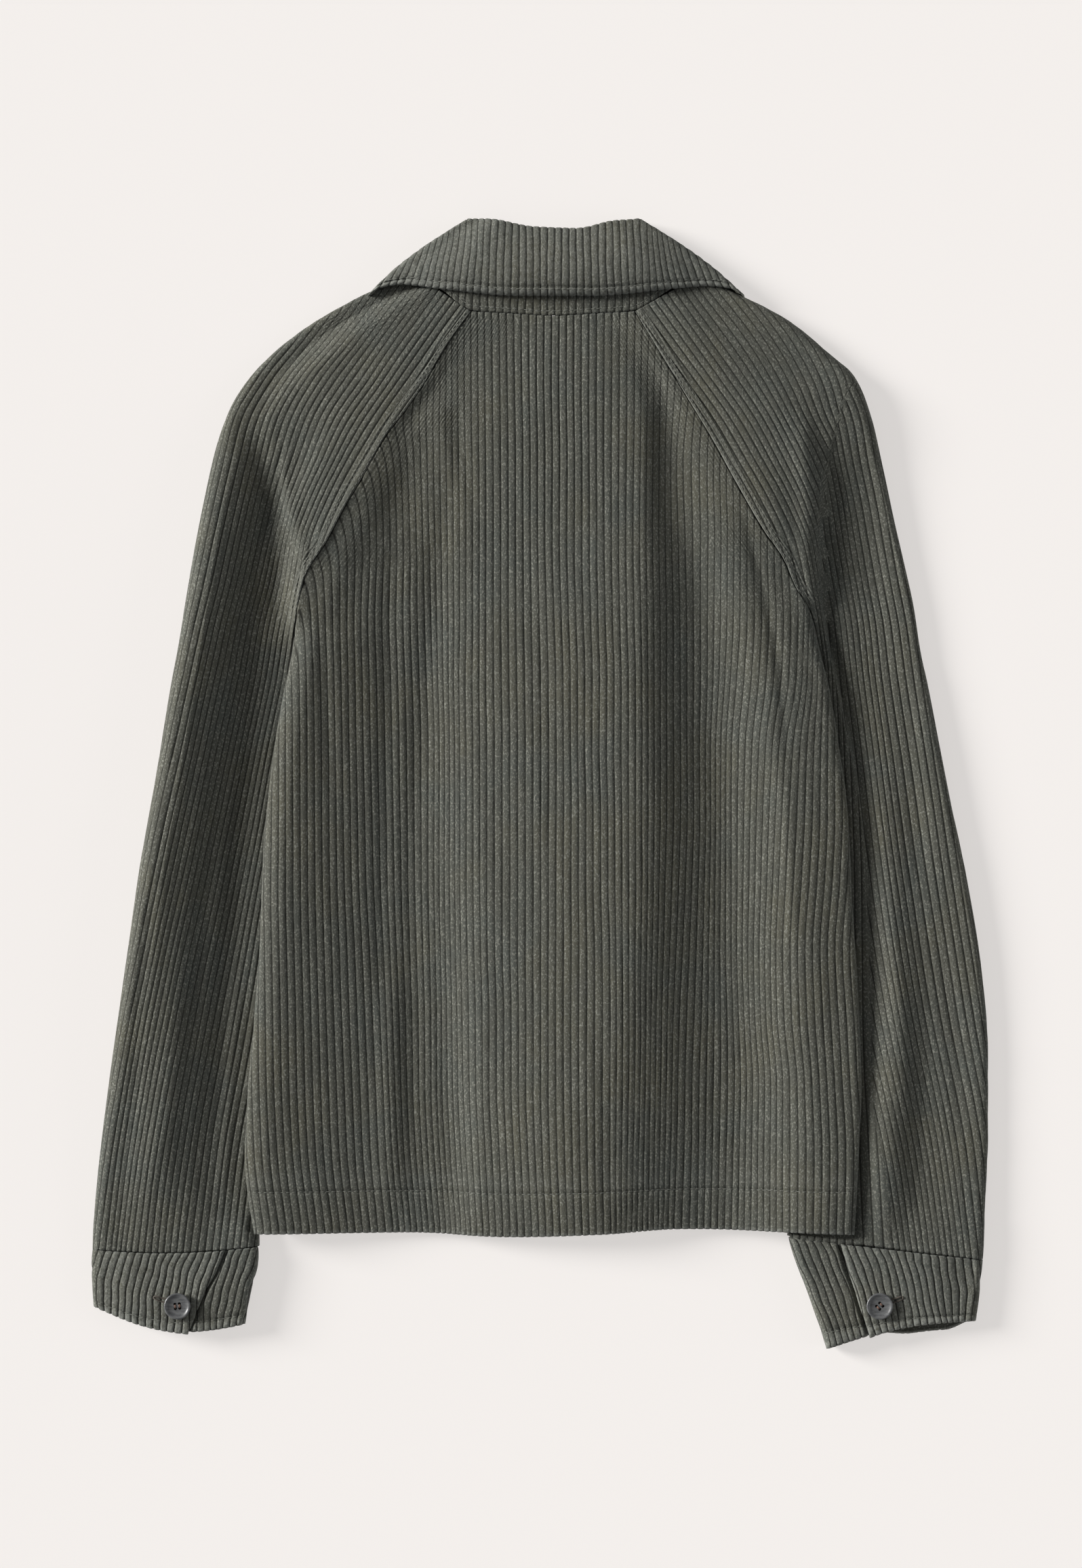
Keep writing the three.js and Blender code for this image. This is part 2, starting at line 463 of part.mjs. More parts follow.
// One front. The right front laps over the left when worn, so it is the one nearer the floor here.
function frontPanel(name, side) {
  const isLeft = side === "left";
  const seamNormals = [];
  const grid = BODY_LEVELS.map((level) => {
    const edges = bodyEdges(level);
    const over = isLeft ? edges.leftOver : edges.rightOver;
    const sign = isLeft ? 1 : -1;
    const sideX = isLeft ? edges.left : edges.right;
    const sleeveX = isLeft ? edges.leftSleeve : edges.rightSleeve;
    const placketX = CENTRE_X + sign * PLACKET_HALF;
    const foot = Math.max(EDGE_ROUND + 2, sign * (sleeveX - sideX) + RAMP_WIDTH + 2);
    const bend = Math.max(EDGE_ROUND + 1, foot - RAMP_WIDTH);
    const width = Math.abs(placketX - sideX);
    const offsets = [...EDGE_STEPS, bend, mix(bend, foot, 0.33), mix(bend, foot, 0.67), foot];
    const strip = (isLeft ? [43, 38, 33, 14, 0] : [41, 36, 31, 14, 0]).map((inset) => width - inset);
    const usable = Math.max(0.1, strip[0] - foot);
    for (let k = 1; k < 3; k += 1) offsets.push(foot + (usable * k) / 3);
    offsets.push(...strip);
    for (let k = 1; k < offsets.length; k += 1) offsets[k] = Math.max(offsets[k], offsets[k - 1] + 0.4);
    const squeeze = width / offsets[offsets.length - 1];
    seamNormals.push(new THREE.Vector3(-sign * over, 0, over - 1).normalize());
    return offsets.map((inFromFold, index) => {
      const x = sideX + sign * (index < EDGE_STEPS.length ? inFromFold : inFromFold * squeeze);
      const neckShare = ease((level - 262) / 40) * ease((60 - Math.abs(x - CENTRE_X)) / 45);
      const bottom = frontHeight(x, level, edges, isLeft);
      const top = backHeight(x, level, edges);
      const middle = mix(isLeft ? edges.leftLift : edges.rightLift, top, 0.5) - SEAM_GAP / 2;
      const rounded = middle - (middle - bottom) * roundedEdge(inFromFold, EDGE_ROUND);
      const y = levelY(level, x) - (NECK_BACK_Y - NECK_FRONT_Y) * neckShare;
      return new THREE.Vector3(x, y, mix(bottom, rounded, over));
    });
  });
  const thickness = (i, j) => (BODY_LEVELS[i] < HEM_TURN_Y && j >= EDGE_STEPS.length ? CLOTH_DOUBLE : CLOTH);
  clothWall(name, grid, isLeft ? -1 : 1, thickness, (i, j) => (j === 0 ? seamNormals[i] : null));
}

const SLEEVE_LOWER_LEVELS = [42, 8, -35, -80, -125, -170, -210, -240, -265, -285, -300];
const SLEEVE_FOLD_ROUND = 6;
const SLEEVE_END_STEPS = [0, 0.8, 3, STRIP_WIDTH, STRIP_WIDTH + 1.2];
const SLEEVE_TOP_SHARES = [0.14, 0.26, 0.38, 0.5, 0.62, 0.74, 0.84, 0.92];
const SLEEVE_BOTTOM_SHARES = [0.67, 0.33];
const OUTER_FOLD_STEPS = 5;
const SLEEVE_BOW_FROM = -280;
const SLEEVE_BOW_REACH = 30;

// A raglan sleeve: one cloth piece from its upper inner edge, round the outer fold, to its lower edge.
// endBow is how far the end that is sewn to the cuff sags past a straight line.
function sleeve(name, table, sideTable, underarmY, endBow) {
  const endNormals = [];
  const grid = [];
  const raglanLevels = BODY_LEVELS.filter((level) => level > SLEEVE_LOWER_LEVELS[0]);
  for (const inY of [...raglanLevels, ...SLEEVE_LOWER_LEVELS, table[table.length - 1].inY]) {
    const row = (heading) => column(table, heading, inY, "inY");
    const inner = new THREE.Vector2(column(sideTable, "sleeveX", inY, "y"), inY);
    const outer = new THREE.Vector2(row("outX"), row("outY"));
    const across = outer.clone().sub(inner);
    const width = across.length();
    across.normalize();
    const over = foldOver(inY, underarmY);
    const heights = ["h0", "h1", "h2", "h3", "h4", "h5"].map(row);
    const heightAt = (share) => curveThrough(SLEEVE_ACROSS, heights, share);
    const foldHeight = heights[5];
    const foldRound = Math.min(9, foldHeight / 2);
    const foldStart = width - foldRound;
    const rowBow = endBow * ease((SLEEVE_BOW_FROM - inY) / SLEEVE_BOW_REACH);
    const pointAt = (along, z) => {
      const bow = rowBow * Math.sin(Math.PI * clamp01(along / width));
      return new THREE.Vector3(inner.x + across.x * along, inner.y + across.y * along - bow, z);
    };
    const floorAt = (along) => collarCover(inner.x + across.x * along, inner.y + across.y * along);
    const points = [];
    const middle = mix(floorAt(0), heights[0], 0.5);
    for (const step of SLEEVE_END_STEPS) {
      const strip = step <= STRIP_WIDTH ? STRIP_RAISE * (1 - over) : 0;
      const flat = heightAt(step / foldStart) + strip;
      const upper = middle + SEAM_GAP / 2;
      const rounded = upper + (heightAt(step / foldStart) - upper) * roundedEdge(step, SLEEVE_FOLD_ROUND);
      points.push(pointAt(step, mix(flat, rounded, over)));
    }
    for (const share of SLEEVE_TOP_SHARES) {
      const along = Math.max(share * foldStart, SLEEVE_END_STEPS[4] + 1 + share * 4);
      points.push(pointAt(along, heightAt(along / foldStart)));
    }
    const floorZ = floorAt(foldStart);
    for (let step = 0; step <= OUTER_FOLD_STEPS; step += 1) {
      const angle = (Math.PI * step) / OUTER_FOLD_STEPS;
      const centreZ = mix(floorZ, heightAt(1), 0.5);
      const z = centreZ + (heightAt(1) - centreZ) * Math.cos(angle);
      points.push(pointAt(foldStart + foldRound * Math.sin(angle), z));
    }
    for (const share of SLEEVE_BOTTOM_SHARES) {
      const along = Math.max(share * foldStart, SLEEVE_END_STEPS[3] + share * 4);
      points.push(pointAt(along, floorAt(along)));
    }
    for (const step of [STRIP_WIDTH, 3, 0.8, 0]) {
      const lower = middle - SEAM_GAP / 2;
      const rounded = lower - (lower - floorAt(step)) * roundedEdge(step, SLEEVE_FOLD_ROUND);
      points.push(pointAt(step, mix(floorAt(step), rounded, over)));
    }
    endNormals.push({
      upper: new THREE.Vector3(-across.x * over, -across.y * over, 1 - over).normalize(),
      lower: new THREE.Vector3(-across.x * over, -across.y * over, over - 1).normalize(),
    });
    grid.push(points);
  }
  const lastColumn = grid[0].length - 1;
  const facing = grid[0][0].x < CENTRE_X ? -1 : 1;
  clothWall(name, grid, facing, () => CLOTH, (i, j) => {
    if (j === 0) return endNormals[i].upper;
    return j === lastColumn ? endNormals[i].lower : null;
  });
}

const CUFF_ROWS = 6;
const CUFF_ACROSS_STEPS = 6;
const CUFF_FOLD_STEPS = 5;

// A buttoned cuff: one doubled band that starts under its own end, goes round the arm and laps over it
function cuff(name, table) {
  const grid = [];
  for (let k = 0; k < CUFF_ROWS; k += 1) {
    const place = (k / (CUFF_ROWS - 1)) * (table.length - 1);
    const row = (heading) => rowBetween(table, heading, place);
    const inner = new THREE.Vector2(row("inX"), row("inY"));
    const outer = new THREE.Vector2(row("outX"), row("outY"));
    const across = outer.clone().sub(inner);
    const width = across.length();
    const lap = row("lap");
    const pointAt = (share, z) => {
      const bow = row("bow") * Math.sin(Math.PI * clamp01(share));
      return new THREE.Vector3(inner.x + across.x * share, inner.y + across.y * share - bow, z);
    };
    const roundShare = CUFF_ROUND / width;
    const points = [];
    const addFold = (edgeShare, direction, fromZ, toZ) => {
      for (let step = 0; step <= CUFF_FOLD_STEPS; step += 1) {
        const angle = (Math.PI * step) / CUFF_FOLD_STEPS;
        const share = edgeShare + direction * roundShare * (Math.sin(angle) - 1);
        points.push(pointAt(share, mix(fromZ, toZ, (1 - Math.cos(angle)) / 2)));
      }
    };
    for (let step = 0; step < 4; step += 1) {
      points.push(pointAt(mix(lap + CUFF_LAP_HIDDEN, roundShare, step / 4), CUFF_UNDER_TOP));
    }
    addFold(0, -1, CUFF_UNDER_TOP, 0);
    for (let step = 1; step < CUFF_ACROSS_STEPS; step += 1) {
      points.push(pointAt(mix(roundShare, 1 - roundShare, step / CUFF_ACROSS_STEPS), 0));
    }
    addFold(1, 1, 0, CUFF_TOP);
    for (let step = 1; step <= CUFF_ACROSS_STEPS; step += 1) {
      points.push(pointAt(mix(1 - roundShare, lap, step / CUFF_ACROSS_STEPS), CUFF_TOP));
    }
    grid.push(points);
  }
  const facing = table[0].inX < CENTRE_X ? 1 : -1;
  clothWall(name, grid, facing, () => CUFF_CLOTH);
}

// A flattened ring round the neck, open at the centre front: the collar's leaf or its stand
function collarRing(name, backTable, frontLeftTable, level, rowShares, foldDrop) {
  const stations = [];
  for (const share of COLLAR_ACROSS) stations.push({ across: -share, front: true });
  for (const share of [...COLLAR_ACROSS].reverse().slice(1)) stations.push({ across: -share, front: false });
  for (const share of COLLAR_ACROSS.slice(1)) stations.push({ across: share, front: false });
  for (const share of [...COLLAR_ACROSS].reverse().slice(1)) stations.push({ across: share, front: true });
  const grid = stations.map(({ across, front }, index) => {
    const onRight = index > stations.length / 2;
    const mirror = (x) => 2 * CENTRE_X - x;
    const read = (nameOfColumn) => {
      if (!front) return column(backTable, nameOfColumn, across, "across");
      const value = column(frontLeftTable, nameOfColumn, -Math.abs(across), "across");
      const reach = nameOfColumn.endsWith("X") && onRight ? mirror(value) : value;
      const crease = backTable[onRight ? backTable.length - 1 : 0][nameOfColumn];
      const plain = frontLeftTable[0][nameOfColumn];
      const plainHere = nameOfColumn.endsWith("X") && onRight ? mirror(plain) : plain;
      return reach + (crease - plainHere) * clamp01(2 * Math.abs(across) - 1);
    };
    const fullness = (1 - Math.abs(across) ** COLLAR_SQUARENESS) ** (1 / COLLAR_SQUARENESS);
    const edge = new THREE.Vector2(read("edgeX"), read("edgeY"));
    const fold = new THREE.Vector2(read("foldX"), read("foldY"));
    const outward = fold.clone().sub(edge).normalize();
    const points = rowShares.map((share) => {
      const spot = edge.clone().lerp(fold, share);
      const top = mix(level.top, level.foldTop, share);
      const middle = mix(level.bottom, top, 0.5);
      const z = front ? middle - (middle - level.bottom) * fullness : middle + (top - middle) * fullness;
      return new THREE.Vector3(spot.x, spot.y, z);
    });
    if (foldDrop > 0) {
      const last = points[points.length - 1];
      const drop = (front ? 0.3 : -1) * foldDrop * fullness;
      const reach = 0.7 * foldDrop;
      points.push(new THREE.Vector3(last.x + outward.x * reach, last.y + outward.y * reach, last.z + drop));
    }
    return points;
  });
  clothWall(name, grid, 1, () => CLOTH);
}

const wasm = await Module();
wasm.setup();
const HOLE_RADIUS = 1.0;
const HOLE_OFFSET = 1.5;

function solidOf(geometry) {
  const vertProperties = new Float32Array(geometry.getAttribute("position").array);
  const triVerts = new Uint32Array(geometry.getIndex().array);
  return new wasm.Manifold(new wasm.Mesh({ numProp: 3, vertProperties, triVerts }));
}

// Cuts the four thread holes through a button
function drillButton(geometry) {
  let solid = solidOf(geometry);
  for (const across of [-HOLE_OFFSET, HOLE_OFFSET]) {
    for (const along of [-HOLE_OFFSET, HOLE_OFFSET]) {
      let drill = new THREE.CylinderGeometry(HOLE_RADIUS, HOLE_RADIUS, 3 * BUTTON_THICK, 8);
      drill.rotateX(Math.PI / 2);
      drill.translate(across, along, BUTTON_THICK / 2);
      drill.deleteAttribute("normal");
      drill.deleteAttribute("uv");
      drill = mergeVertices(drill, 1e-4);
      solid = solid.subtract(solidOf(drill));
    }
  }
  const mesh = solid.getMesh();
  const drilled = new THREE.BufferGeometry();
  drilled.setAttribute("position", new THREE.BufferAttribute(new Float32Array(mesh.vertProperties), 3));
  drilled.setIndex(new THREE.BufferAttribute(new Uint32Array(mesh.triVerts), 1));
  return drilled;
}

// A sewn-through button with a raised rim and four holes
function button(name, x, y, z, turn, sides, withHoles) {
  const radius = BUTTON_DIAMETER / 2;
  const profile = [
    [0, 0],
    [radius * 0.82, 0],
    [radius, BUTTON_THICK * 0.45],
    [radius * 0.95, BUTTON_THICK],
    [radius * 0.8, BUTTON_THICK * 0.93],
    [radius * 0.68, BUTTON_THICK * 0.7],
    [0, BUTTON_THICK * 0.64],
  ].map(([across, up]) => new THREE.Vector2(across, up));
  let geometry = new THREE.LatheGeometry(profile, sides);
  geometry.rotateX(Math.PI / 2);
  geometry.deleteAttribute("normal");
  geometry.deleteAttribute("uv");
  geometry = mergeVertices(geometry, 1e-4);
  if (withHoles) geometry = drillButton(geometry);
  const mesh = addPiece(name, geometry, HORN);
  mesh.position.set(x, y, z);
  mesh.rotation.z = turn;
}

backPanel();
frontPanel("front_left", "left");
frontPanel("front_right", "right");
sleeve("sleeve_left", SLEEVE_LEFT, SIDE_LEFT, UNDERARM_LEFT_Y, CUFF_LEFT[0].bow);
sleeve("sleeve_right", SLEEVE_RIGHT, SIDE_RIGHT, UNDERARM_RIGHT_Y, CUFF_RIGHT[0].bow);
cuff("cuff_left", CUFF_LEFT);
cuff("cuff_right", CUFF_RIGHT);
collarRing("collar_stand", STAND_BACK, STAND_FRONT_LEFT, STAND_LEVEL, [0, 0.5, 1], 0);
collarRing("collar_leaf", LEAF_BACK, LEAF_FRONT_LEFT, LEAF_LEVEL, [0, 0.3, 0.65, 1], 2.2);
for (const [side, turn] of [["left", 0.1], ["right", Math.PI / 4]]) {
  const spot = CUFF_BUTTONS[side];
  button(`cuff_button_${side}`, spot.x, spot.y, CUFF_TOP + SEAM_GAP, turn, 24, true);
}
for (let k = 0; k < FRONT_BUTTON_COUNT; k += 1) {
  button(`front_button_${k + 1}`, CENTRE_X, FRONT_BUTTON_TOP - k * FRONT_BUTTON_PITCH, 0, 0, 16, false);
}

export default jacket;
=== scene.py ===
import math

import bmesh
import bpy
import numpy as np
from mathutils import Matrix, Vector
from mathutils.bvhtree import BVHTree


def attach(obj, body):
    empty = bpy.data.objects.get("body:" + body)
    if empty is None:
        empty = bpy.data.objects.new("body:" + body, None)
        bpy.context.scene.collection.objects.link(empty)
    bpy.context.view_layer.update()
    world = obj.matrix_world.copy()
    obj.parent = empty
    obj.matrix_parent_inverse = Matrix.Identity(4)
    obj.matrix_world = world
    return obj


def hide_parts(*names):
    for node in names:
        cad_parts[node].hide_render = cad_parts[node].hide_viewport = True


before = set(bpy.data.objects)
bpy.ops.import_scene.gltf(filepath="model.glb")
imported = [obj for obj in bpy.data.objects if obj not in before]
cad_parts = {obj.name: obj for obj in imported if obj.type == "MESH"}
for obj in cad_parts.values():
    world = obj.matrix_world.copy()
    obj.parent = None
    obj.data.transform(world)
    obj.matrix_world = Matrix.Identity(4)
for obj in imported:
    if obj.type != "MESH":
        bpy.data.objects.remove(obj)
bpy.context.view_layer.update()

# The back panel: one piece of wide-wale cotton corduroy from the neck seam to the turned-up hem, joined to
# the sleeves by the raglan seams. All sizes are millimetres; x runs across, y from hem to collar, z up.
MM = 0.001
CLOTH = 2.0
SEAM_GAP = 0.3
CENTRE_X = 9
WALE_PITCH = 5.15
WALE_DEPTH = 0.75
RIB_SHARPNESS = 4.5
CREST_WAVE = 0.1
FOLD_ROUND = 7
LEFT_FOLD_ROUND = 15
NECK_Y = 321.5
HEM_Y = -304
HEM_STITCH_Y = -275.5
UNDERARM_LEFT = 106
UNDERARM_RIGHT = 115
UNDERARM_BLEND = 9
LEFT_SIDE = {
    "y": [321.5, 299, 278, 257, 237, 214, 183, 164, 144, 124, 106, 90, 76, 60, 21, -40, -112, -157, -209,
          -253, -280, -305, -320],
    "body": [-47, -63, -75, -89, -104, -117, -135, -145, -158, -163.5, -166, -168.5, -171, -174.5, -181,
             -187.5, -190.5, -194, -198.5, -200.5, -198, -194, -193],
    "sleeve": [-47.2, -63.2, -75.2, -89.2, -104.2, -117.2, -135.2, -145.2, -158.2, -163.7, -166.1, -168.5,
               -170.6, -170, -171, -176, -180, -183, -187, -190, -190.5, -191, -191],
    "lift": [0, 0, 0, 0, 0, 0, 0, 0, 0, 0.5, 3, 8, 10.2, 10.2, 10.2, 10.2, 10.2, 10.2, 10.2, 10.2, 10.2,
             10.2, 10.2],
}
RIGHT_SIDE = {
    "y": [321.5, 290, 258, 233, 198, 171, 154, 135, 115, 98, 84, 68, 24, -17, -86, -130, -200, -253, -305,
          -320],
    "body": [64, 83, 102, 117, 136, 152, 164, 172.5, 184, 188, 191.5, 195.5, 203, 208.5, 212, 215, 218,
             216, 213, 212],
    "sleeve": [64.2, 83.2, 102.2, 117.2, 136.2, 152.2, 164.2, 172.7, 183.9, 187.9, 191, 191, 192, 192, 189,
               186, 178, 172, 168, 166],
    "lift": [0, 0, 0, 0, 0, 0, 0, 0.5, 3, 8, 10.2, 10.2, 10.2, 10.2, 10.2, 10.2, 10.2, 10.2, 10.2, 10.2],
}
BACK_FOLDS = {
    "y": [325, 275, 248, 192, 137, 54, -1, -111, -221, -277, -306],
    "left_z": [14, 19, 20, 24, 23.5, 24.5, 24, 22.5, 20, 19.5, 18.5],
    "trough_x": [-30, -66, -86, -91, -73, -79, -79, -74, -67, -66, -68],
    "trough_z": [14, 17.5, 17.8, 17.4, 15, 12.5, 12, 10.2, 7.4, 7.6, 7.6],
    "slope_x": [-12, -45, -68, -45, -42, -42, -40, -36, -36, -38, -42],
    "slope_z": [14, 18.2, 19.6, 20.5, 18.5, 18.5, 19, 19.5, 17, 15.5, 13.5],
    "middle_x": [20, 60, 68, 68, 67, 60, 64, 54, 35, 34, 34],
    "middle_z": [14, 20, 22, 24, 25, 24.5, 24.5, 25.5, 25, 22.5, 19],
    "right_trough_x": [40, 79, 86, 91, 105, 114, 119, 127, 134, 130, 126],
    "right_trough_z": [14, 17.6, 17.3, 17.2, 14.8, 12.2, 11.5, 10.6, 9, 9.8, 9],
    "ridge_x": [52, 86, 98, 124, 138, 161, 171, 180, 185, 188, 182],
    "ridge_z": [14, 19, 20, 21.5, 21, 21, 21, 20.5, 19.5, 20, 19.5],
    "right_z": [14, 19, 20.5, 22, 19, 19, 18.5, 18, 17.5, 18.5, 18],
}
NECK_LINE = {"x": [-47, -19, 9, 37, 64], "y": [321.5, 320, 318.5, 320, 321.5]}
HEM_LINE = {
    "x": [-194, -91, -24, 42, 93, 160, 213],
    "y": [-304.5, -304, -306.5, -304.5, -301.5, -303, -305],
}
# Sharp little creases pressed into the back: the points they run through, how high they stand (below 0
# they are furrows) and how wide they are.
BACK_CREASES = [
    {"path": [(-64, 275), (-95, 223), (-125, 171), (-140, 132), (-150, 93)], "z": 1.0, "wide": 9},
    {"path": [(-103, -120), (-102, -210), (-102, -300)], "z": 1.5, "wide": 10},
    {
        "path": [(-52, 277), (-68, 159), (-79, 53), (-89, -54), (-88, -170), (-86, -300)],
        "z": -1.2,
        "wide": 9,
    },
    {"path": [(-100, 200), (-104, 60), (-108, -90), (-108, -220)], "z": -1.0, "wide": 7},
    {"path": [(-68, 262), (-66, 235), (-60, 205)], "z": 0.9, "wide": 5},
    {"path": [(-56, 262), (-54, 230), (-44, 180)], "z": -0.7, "wide": 3.5},
    {"path": [(135, 195), (151, 133), (162, 79), (168, 10)], "z": -1.1, "wide": 4},
    {"path": [(82, 262), (80, 225), (84, 170)], "z": -0.8, "wide": 4},
    {"path": [(-20, 210), (-6, 130), (7, 53), (6, -60)], "z": -0.5, "wide": 6},
    {"path": [(150, 60), (166, -20), (172, -120)], "z": 0.9, "wide": 6},
    {"path": [(-150, 120), (-146, 60), (-142, -20)], "z": -0.9, "wide": 5},
    {"path": [(40, -150), (46, -230), (44, -296)], "z": -0.6, "wide": 6},
]
# Where chosen wales run: each line of places is one wale, with its number counted from the centre.
BACK_WALES = {
    "y": [331, 275, 220, 165, 110, 73, 27, -19, -65, -111, -157, -203, -249, -300],
    "paths": {
        -35.7: [-168, -168, -168, -167, -166.5, -166, -166, -166, -166, -165, -164, -163, -161, -155],
        -25: [-116, -116, -115, -115, -117, -116, -115, -114, -113, -111, -109, -107, -105, -100],
        -16.5: [-78, -78, -78, -77, -76, -75, -74, -74, -74, -73, -72, -72, -70, -66],
        -10.7: [-55, -54.5, -54, -53.5, -53.5, -54, -53.5, -53.5, -53.5, -53, -52, -51.5, -49.5, -46],
        -7: [-38, -37.5, -37, -37, -37, -37, -36, -36, -36, -36, -35, -35, -33, -30],
        1.5: [5, 5, 6, 6, 7, 8, 8, 8, 8, 8, 8, 8, 9, 11],
        9: [43, 43, 43, 43, 44, 45, 45, 46, 46, 47, 47, 47, 47, 48],
        13.3: [65, 65, 64.5, 64, 65, 66, 66, 66, 66, 65.5, 65.5, 65, 64, 63],
        17.7: [84, 84, 83.5, 83.5, 84, 84, 84, 84, 83, 82, 81, 80.5, 80, 79],
        20.7: [98, 98, 95, 97, 98, 98, 98, 98, 97, 95, 93, 92, 91, 89],
        23.9: [113, 113, 112, 113, 113, 113, 112, 112, 111, 110, 109, 107.5, 107, 106],
        28.8: [132, 132, 132, 134, 134, 132, 129, 129, 129, 129, 130, 131, 130, 129],
        37.4: [170, 170, 171, 172, 176, 175, 168, 165, 163, 161, 162, 166, 166, 166],
        43.7: [196, 196, 196, 196, 196, 197, 198, 198, 196, 193, 195, 198, 200, 199],
    },
}


def ease(value):
    t = np.clip(value, 0, 1)
    return t * t * (3 - 2 * t)


def mix(a, b, t):
    return a + (b - a) * t


# A smooth line through a few measured points that never overshoots them
def curve(knots, values, at):
    knots = np.asarray(knots, float)
    values = np.asarray(values, float)
    if knots[0] > knots[-1]:
        knots = knots[::-1]
        values = values[::-1]
    place = np.clip(at, knots[0], knots[-1])
    gaps = np.diff(knots)
    grades = np.diff(values) / gaps
    slopes = np.zeros_like(values)
    slopes[0] = grades[0]
    slopes[-1] = grades[-1]
    agree = grades[:-1] * grades[1:] > 0
    total = np.where(agree, grades[:-1] + grades[1:], 1)
    slopes[1:-1] = np.where(agree, 2 * grades[:-1] * grades[1:] / total, 0)
    k = np.clip(np.searchsorted(knots, place, side="right") - 1, 0, len(gaps) - 1)
    t = (place - knots[k]) / gaps[k]
    start = (1 + 2 * t) * (1 - t) ** 2 * values[k] + t * (1 - t) ** 2 * gaps[k] * slopes[k]
    end = t * t * (3 - 2 * t) * values[k + 1] + t * t * (t - 1) * gaps[k] * slopes[k + 1]
    return start + end


def read(table, name, at, by="y"):
    return curve(table[by], table[name], at)


# 0 above the underarm, where back and sleeve are seamed, and 1 below it, where they lie side by side
def below_underarm(underarm_y, y):
    return ease((underarm_y + UNDERARM_BLEND - y) / (2 * UNDERARM_BLEND))


def side_edges(y):
    edges = {}
    sides = {"left": (LEFT_SIDE, UNDERARM_LEFT), "right": (RIGHT_SIDE, UNDERARM_RIGHT)}
    for side, (table, underarm_y) in sides.items():
        edges[side] = read(table, "body", y)
        edges[f"{side}_sleeve"] = read(table, "sleeve", y)
        edges[f"{side}_lift"] = read(table, "lift", y)
        edges[f"{side}_over"] = below_underarm(underarm_y, y)
    return edges


def level_y(level, x):
    hem_share = ease((-240 - level) / 60)
    neck_share = ease((level - 290) / 30)
    neck_dip = (curve(NECK_LINE["x"], NECK_LINE["y"], x) - NECK_Y) * neck_share
    return level + (curve(HEM_LINE["x"], HEM_LINE["y"], x) - HEM_Y) * hem_share + neck_dip


def back_height(x, y, edges):
    places = [edges["left"] + mix(1, LEFT_FOLD_ROUND, edges["left_over"])]
    for name in ("trough_x", "slope_x", "middle_x", "right_trough_x", "ridge_x"):
        places.append(read(BACK_FOLDS, name, y))
    places.append(edges["right"] - FOLD_ROUND)
    for k in range(1, len(places)):
        places[k] = max(places[k], places[k - 1] + 1)
    heights = [read(BACK_FOLDS, name, y) for name in BACK_FOLDS if name.endswith("_z")]
    return curve(places, heights, x)


# How much of its full height a round fold has reached at a distance in from its edge
def rounded_edge(distance, reach):
    rest = 1 - np.clip(distance / reach, 0, 1)
    return np.sqrt(np.maximum(0, 1 - rest * rest))


# The height that small creases add at every point of a panel
def crease_height(x, y, creases):
    total = np.zeros_like(x)
    for crease in creases:
        path = crease["path"]
        nearest = np.full_like(x, 1e9)
        along = np.zeros_like(x)
        lengths = [math.dist(path[k], path[k + 1]) for k in range(len(path) - 1)]
        done = 0
        for k, length in enumerate(lengths):
            ax, ay = path[k]
            dx = (path[k + 1][0] - ax) / length
            dy = (path[k + 1][1] - ay) / length
            run = np.clip((x - ax) * dx + (y - ay) * dy, 0, length)
            gap = np.hypot(x - ax - run * dx, y - ay - run * dy)
            closer = gap < nearest
            nearest = np.where(closer, gap, nearest)
            along = np.where(closer, (done + run) / sum(lengths), along)
            done += length
        taper = ease(along / 0.2) * ease((1 - along) / 0.2)
        total += crease["z"] * taper * np.exp(-((nearest / crease["wide"]) ** 2))
    return total


# The number of the wale at every point, read between the measured paths of a few wales
def wale_number(x, y, wales):
    numbers = list(wales["paths"])
    places = [curve(wales["y"], path, y) for path in wales["paths"].values()]
    result = np.zeros_like(x)
    last = len(numbers) - 2
    for k in range(len(numbers) - 1):
        share = (x - places[k]) / (places[k + 1] - places[k])
        inside = np.ones_like(x, bool)
        if k > 0:
            inside &= x >= places[k]
        if k < last:
            inside &= x < places[k + 1]
        result = np.where(inside, mix(numbers[k], numbers[k + 1], share), result)
    return result


# Slow, uneven waves that keep hand-laid cloth from looking machined
def unevenness(x, y, seed):
    first = np.sin(x / 31 + seed) * np.sin(y / 47 + 2 * seed)
    second = np.sin((x + y) / 19 + 3 * seed) * np.sin((x - 1.4 * y) / 67 + seed)
    return 0.5 * first + 0.3 * second


def surface_normals(points, facing):
    along = np.gradient(points, axis=0)
    across = np.gradient(points, axis=1)
    normals = np.cross(along, across) * facing
    return normals / np.maximum(np.linalg.norm(normals, axis=2, keepdims=True), 1e-9)


def kept_lines(count, step):
    kept = list(range(0, count, step))
    if kept[-1] != count - 1:
        kept.append(count - 1)
    return kept


# The four corners of every face of a grid, in order round the face
def grid_quads(grid, facing, inside=False):
    first, below, beyond, beside = grid[:-1, :-1], grid[1:, :-1], grid[1:, 1:], grid[:-1, 1:]
    corners = (first, beside, beyond, below) if inside else (first, below, beyond, beside)
    quads = np.stack(corners, axis=-1).reshape(-1, 4)
    return (quads if facing > 0 else quads[:, ::-1]).tolist()


def add_object(name, data):
    added = bpy.data.objects.new(name, data)
    bpy.context.collection.objects.link(added)
    return added


def add_piece(name, corners, faces, material):
    mesh = bpy.data.meshes.new(name)
    mesh.from_pydata(corners, [], faces)
    mesh.update()
    mesh.shade_smooth()
    mesh.materials.append(material)
    return add_object(name, mesh)


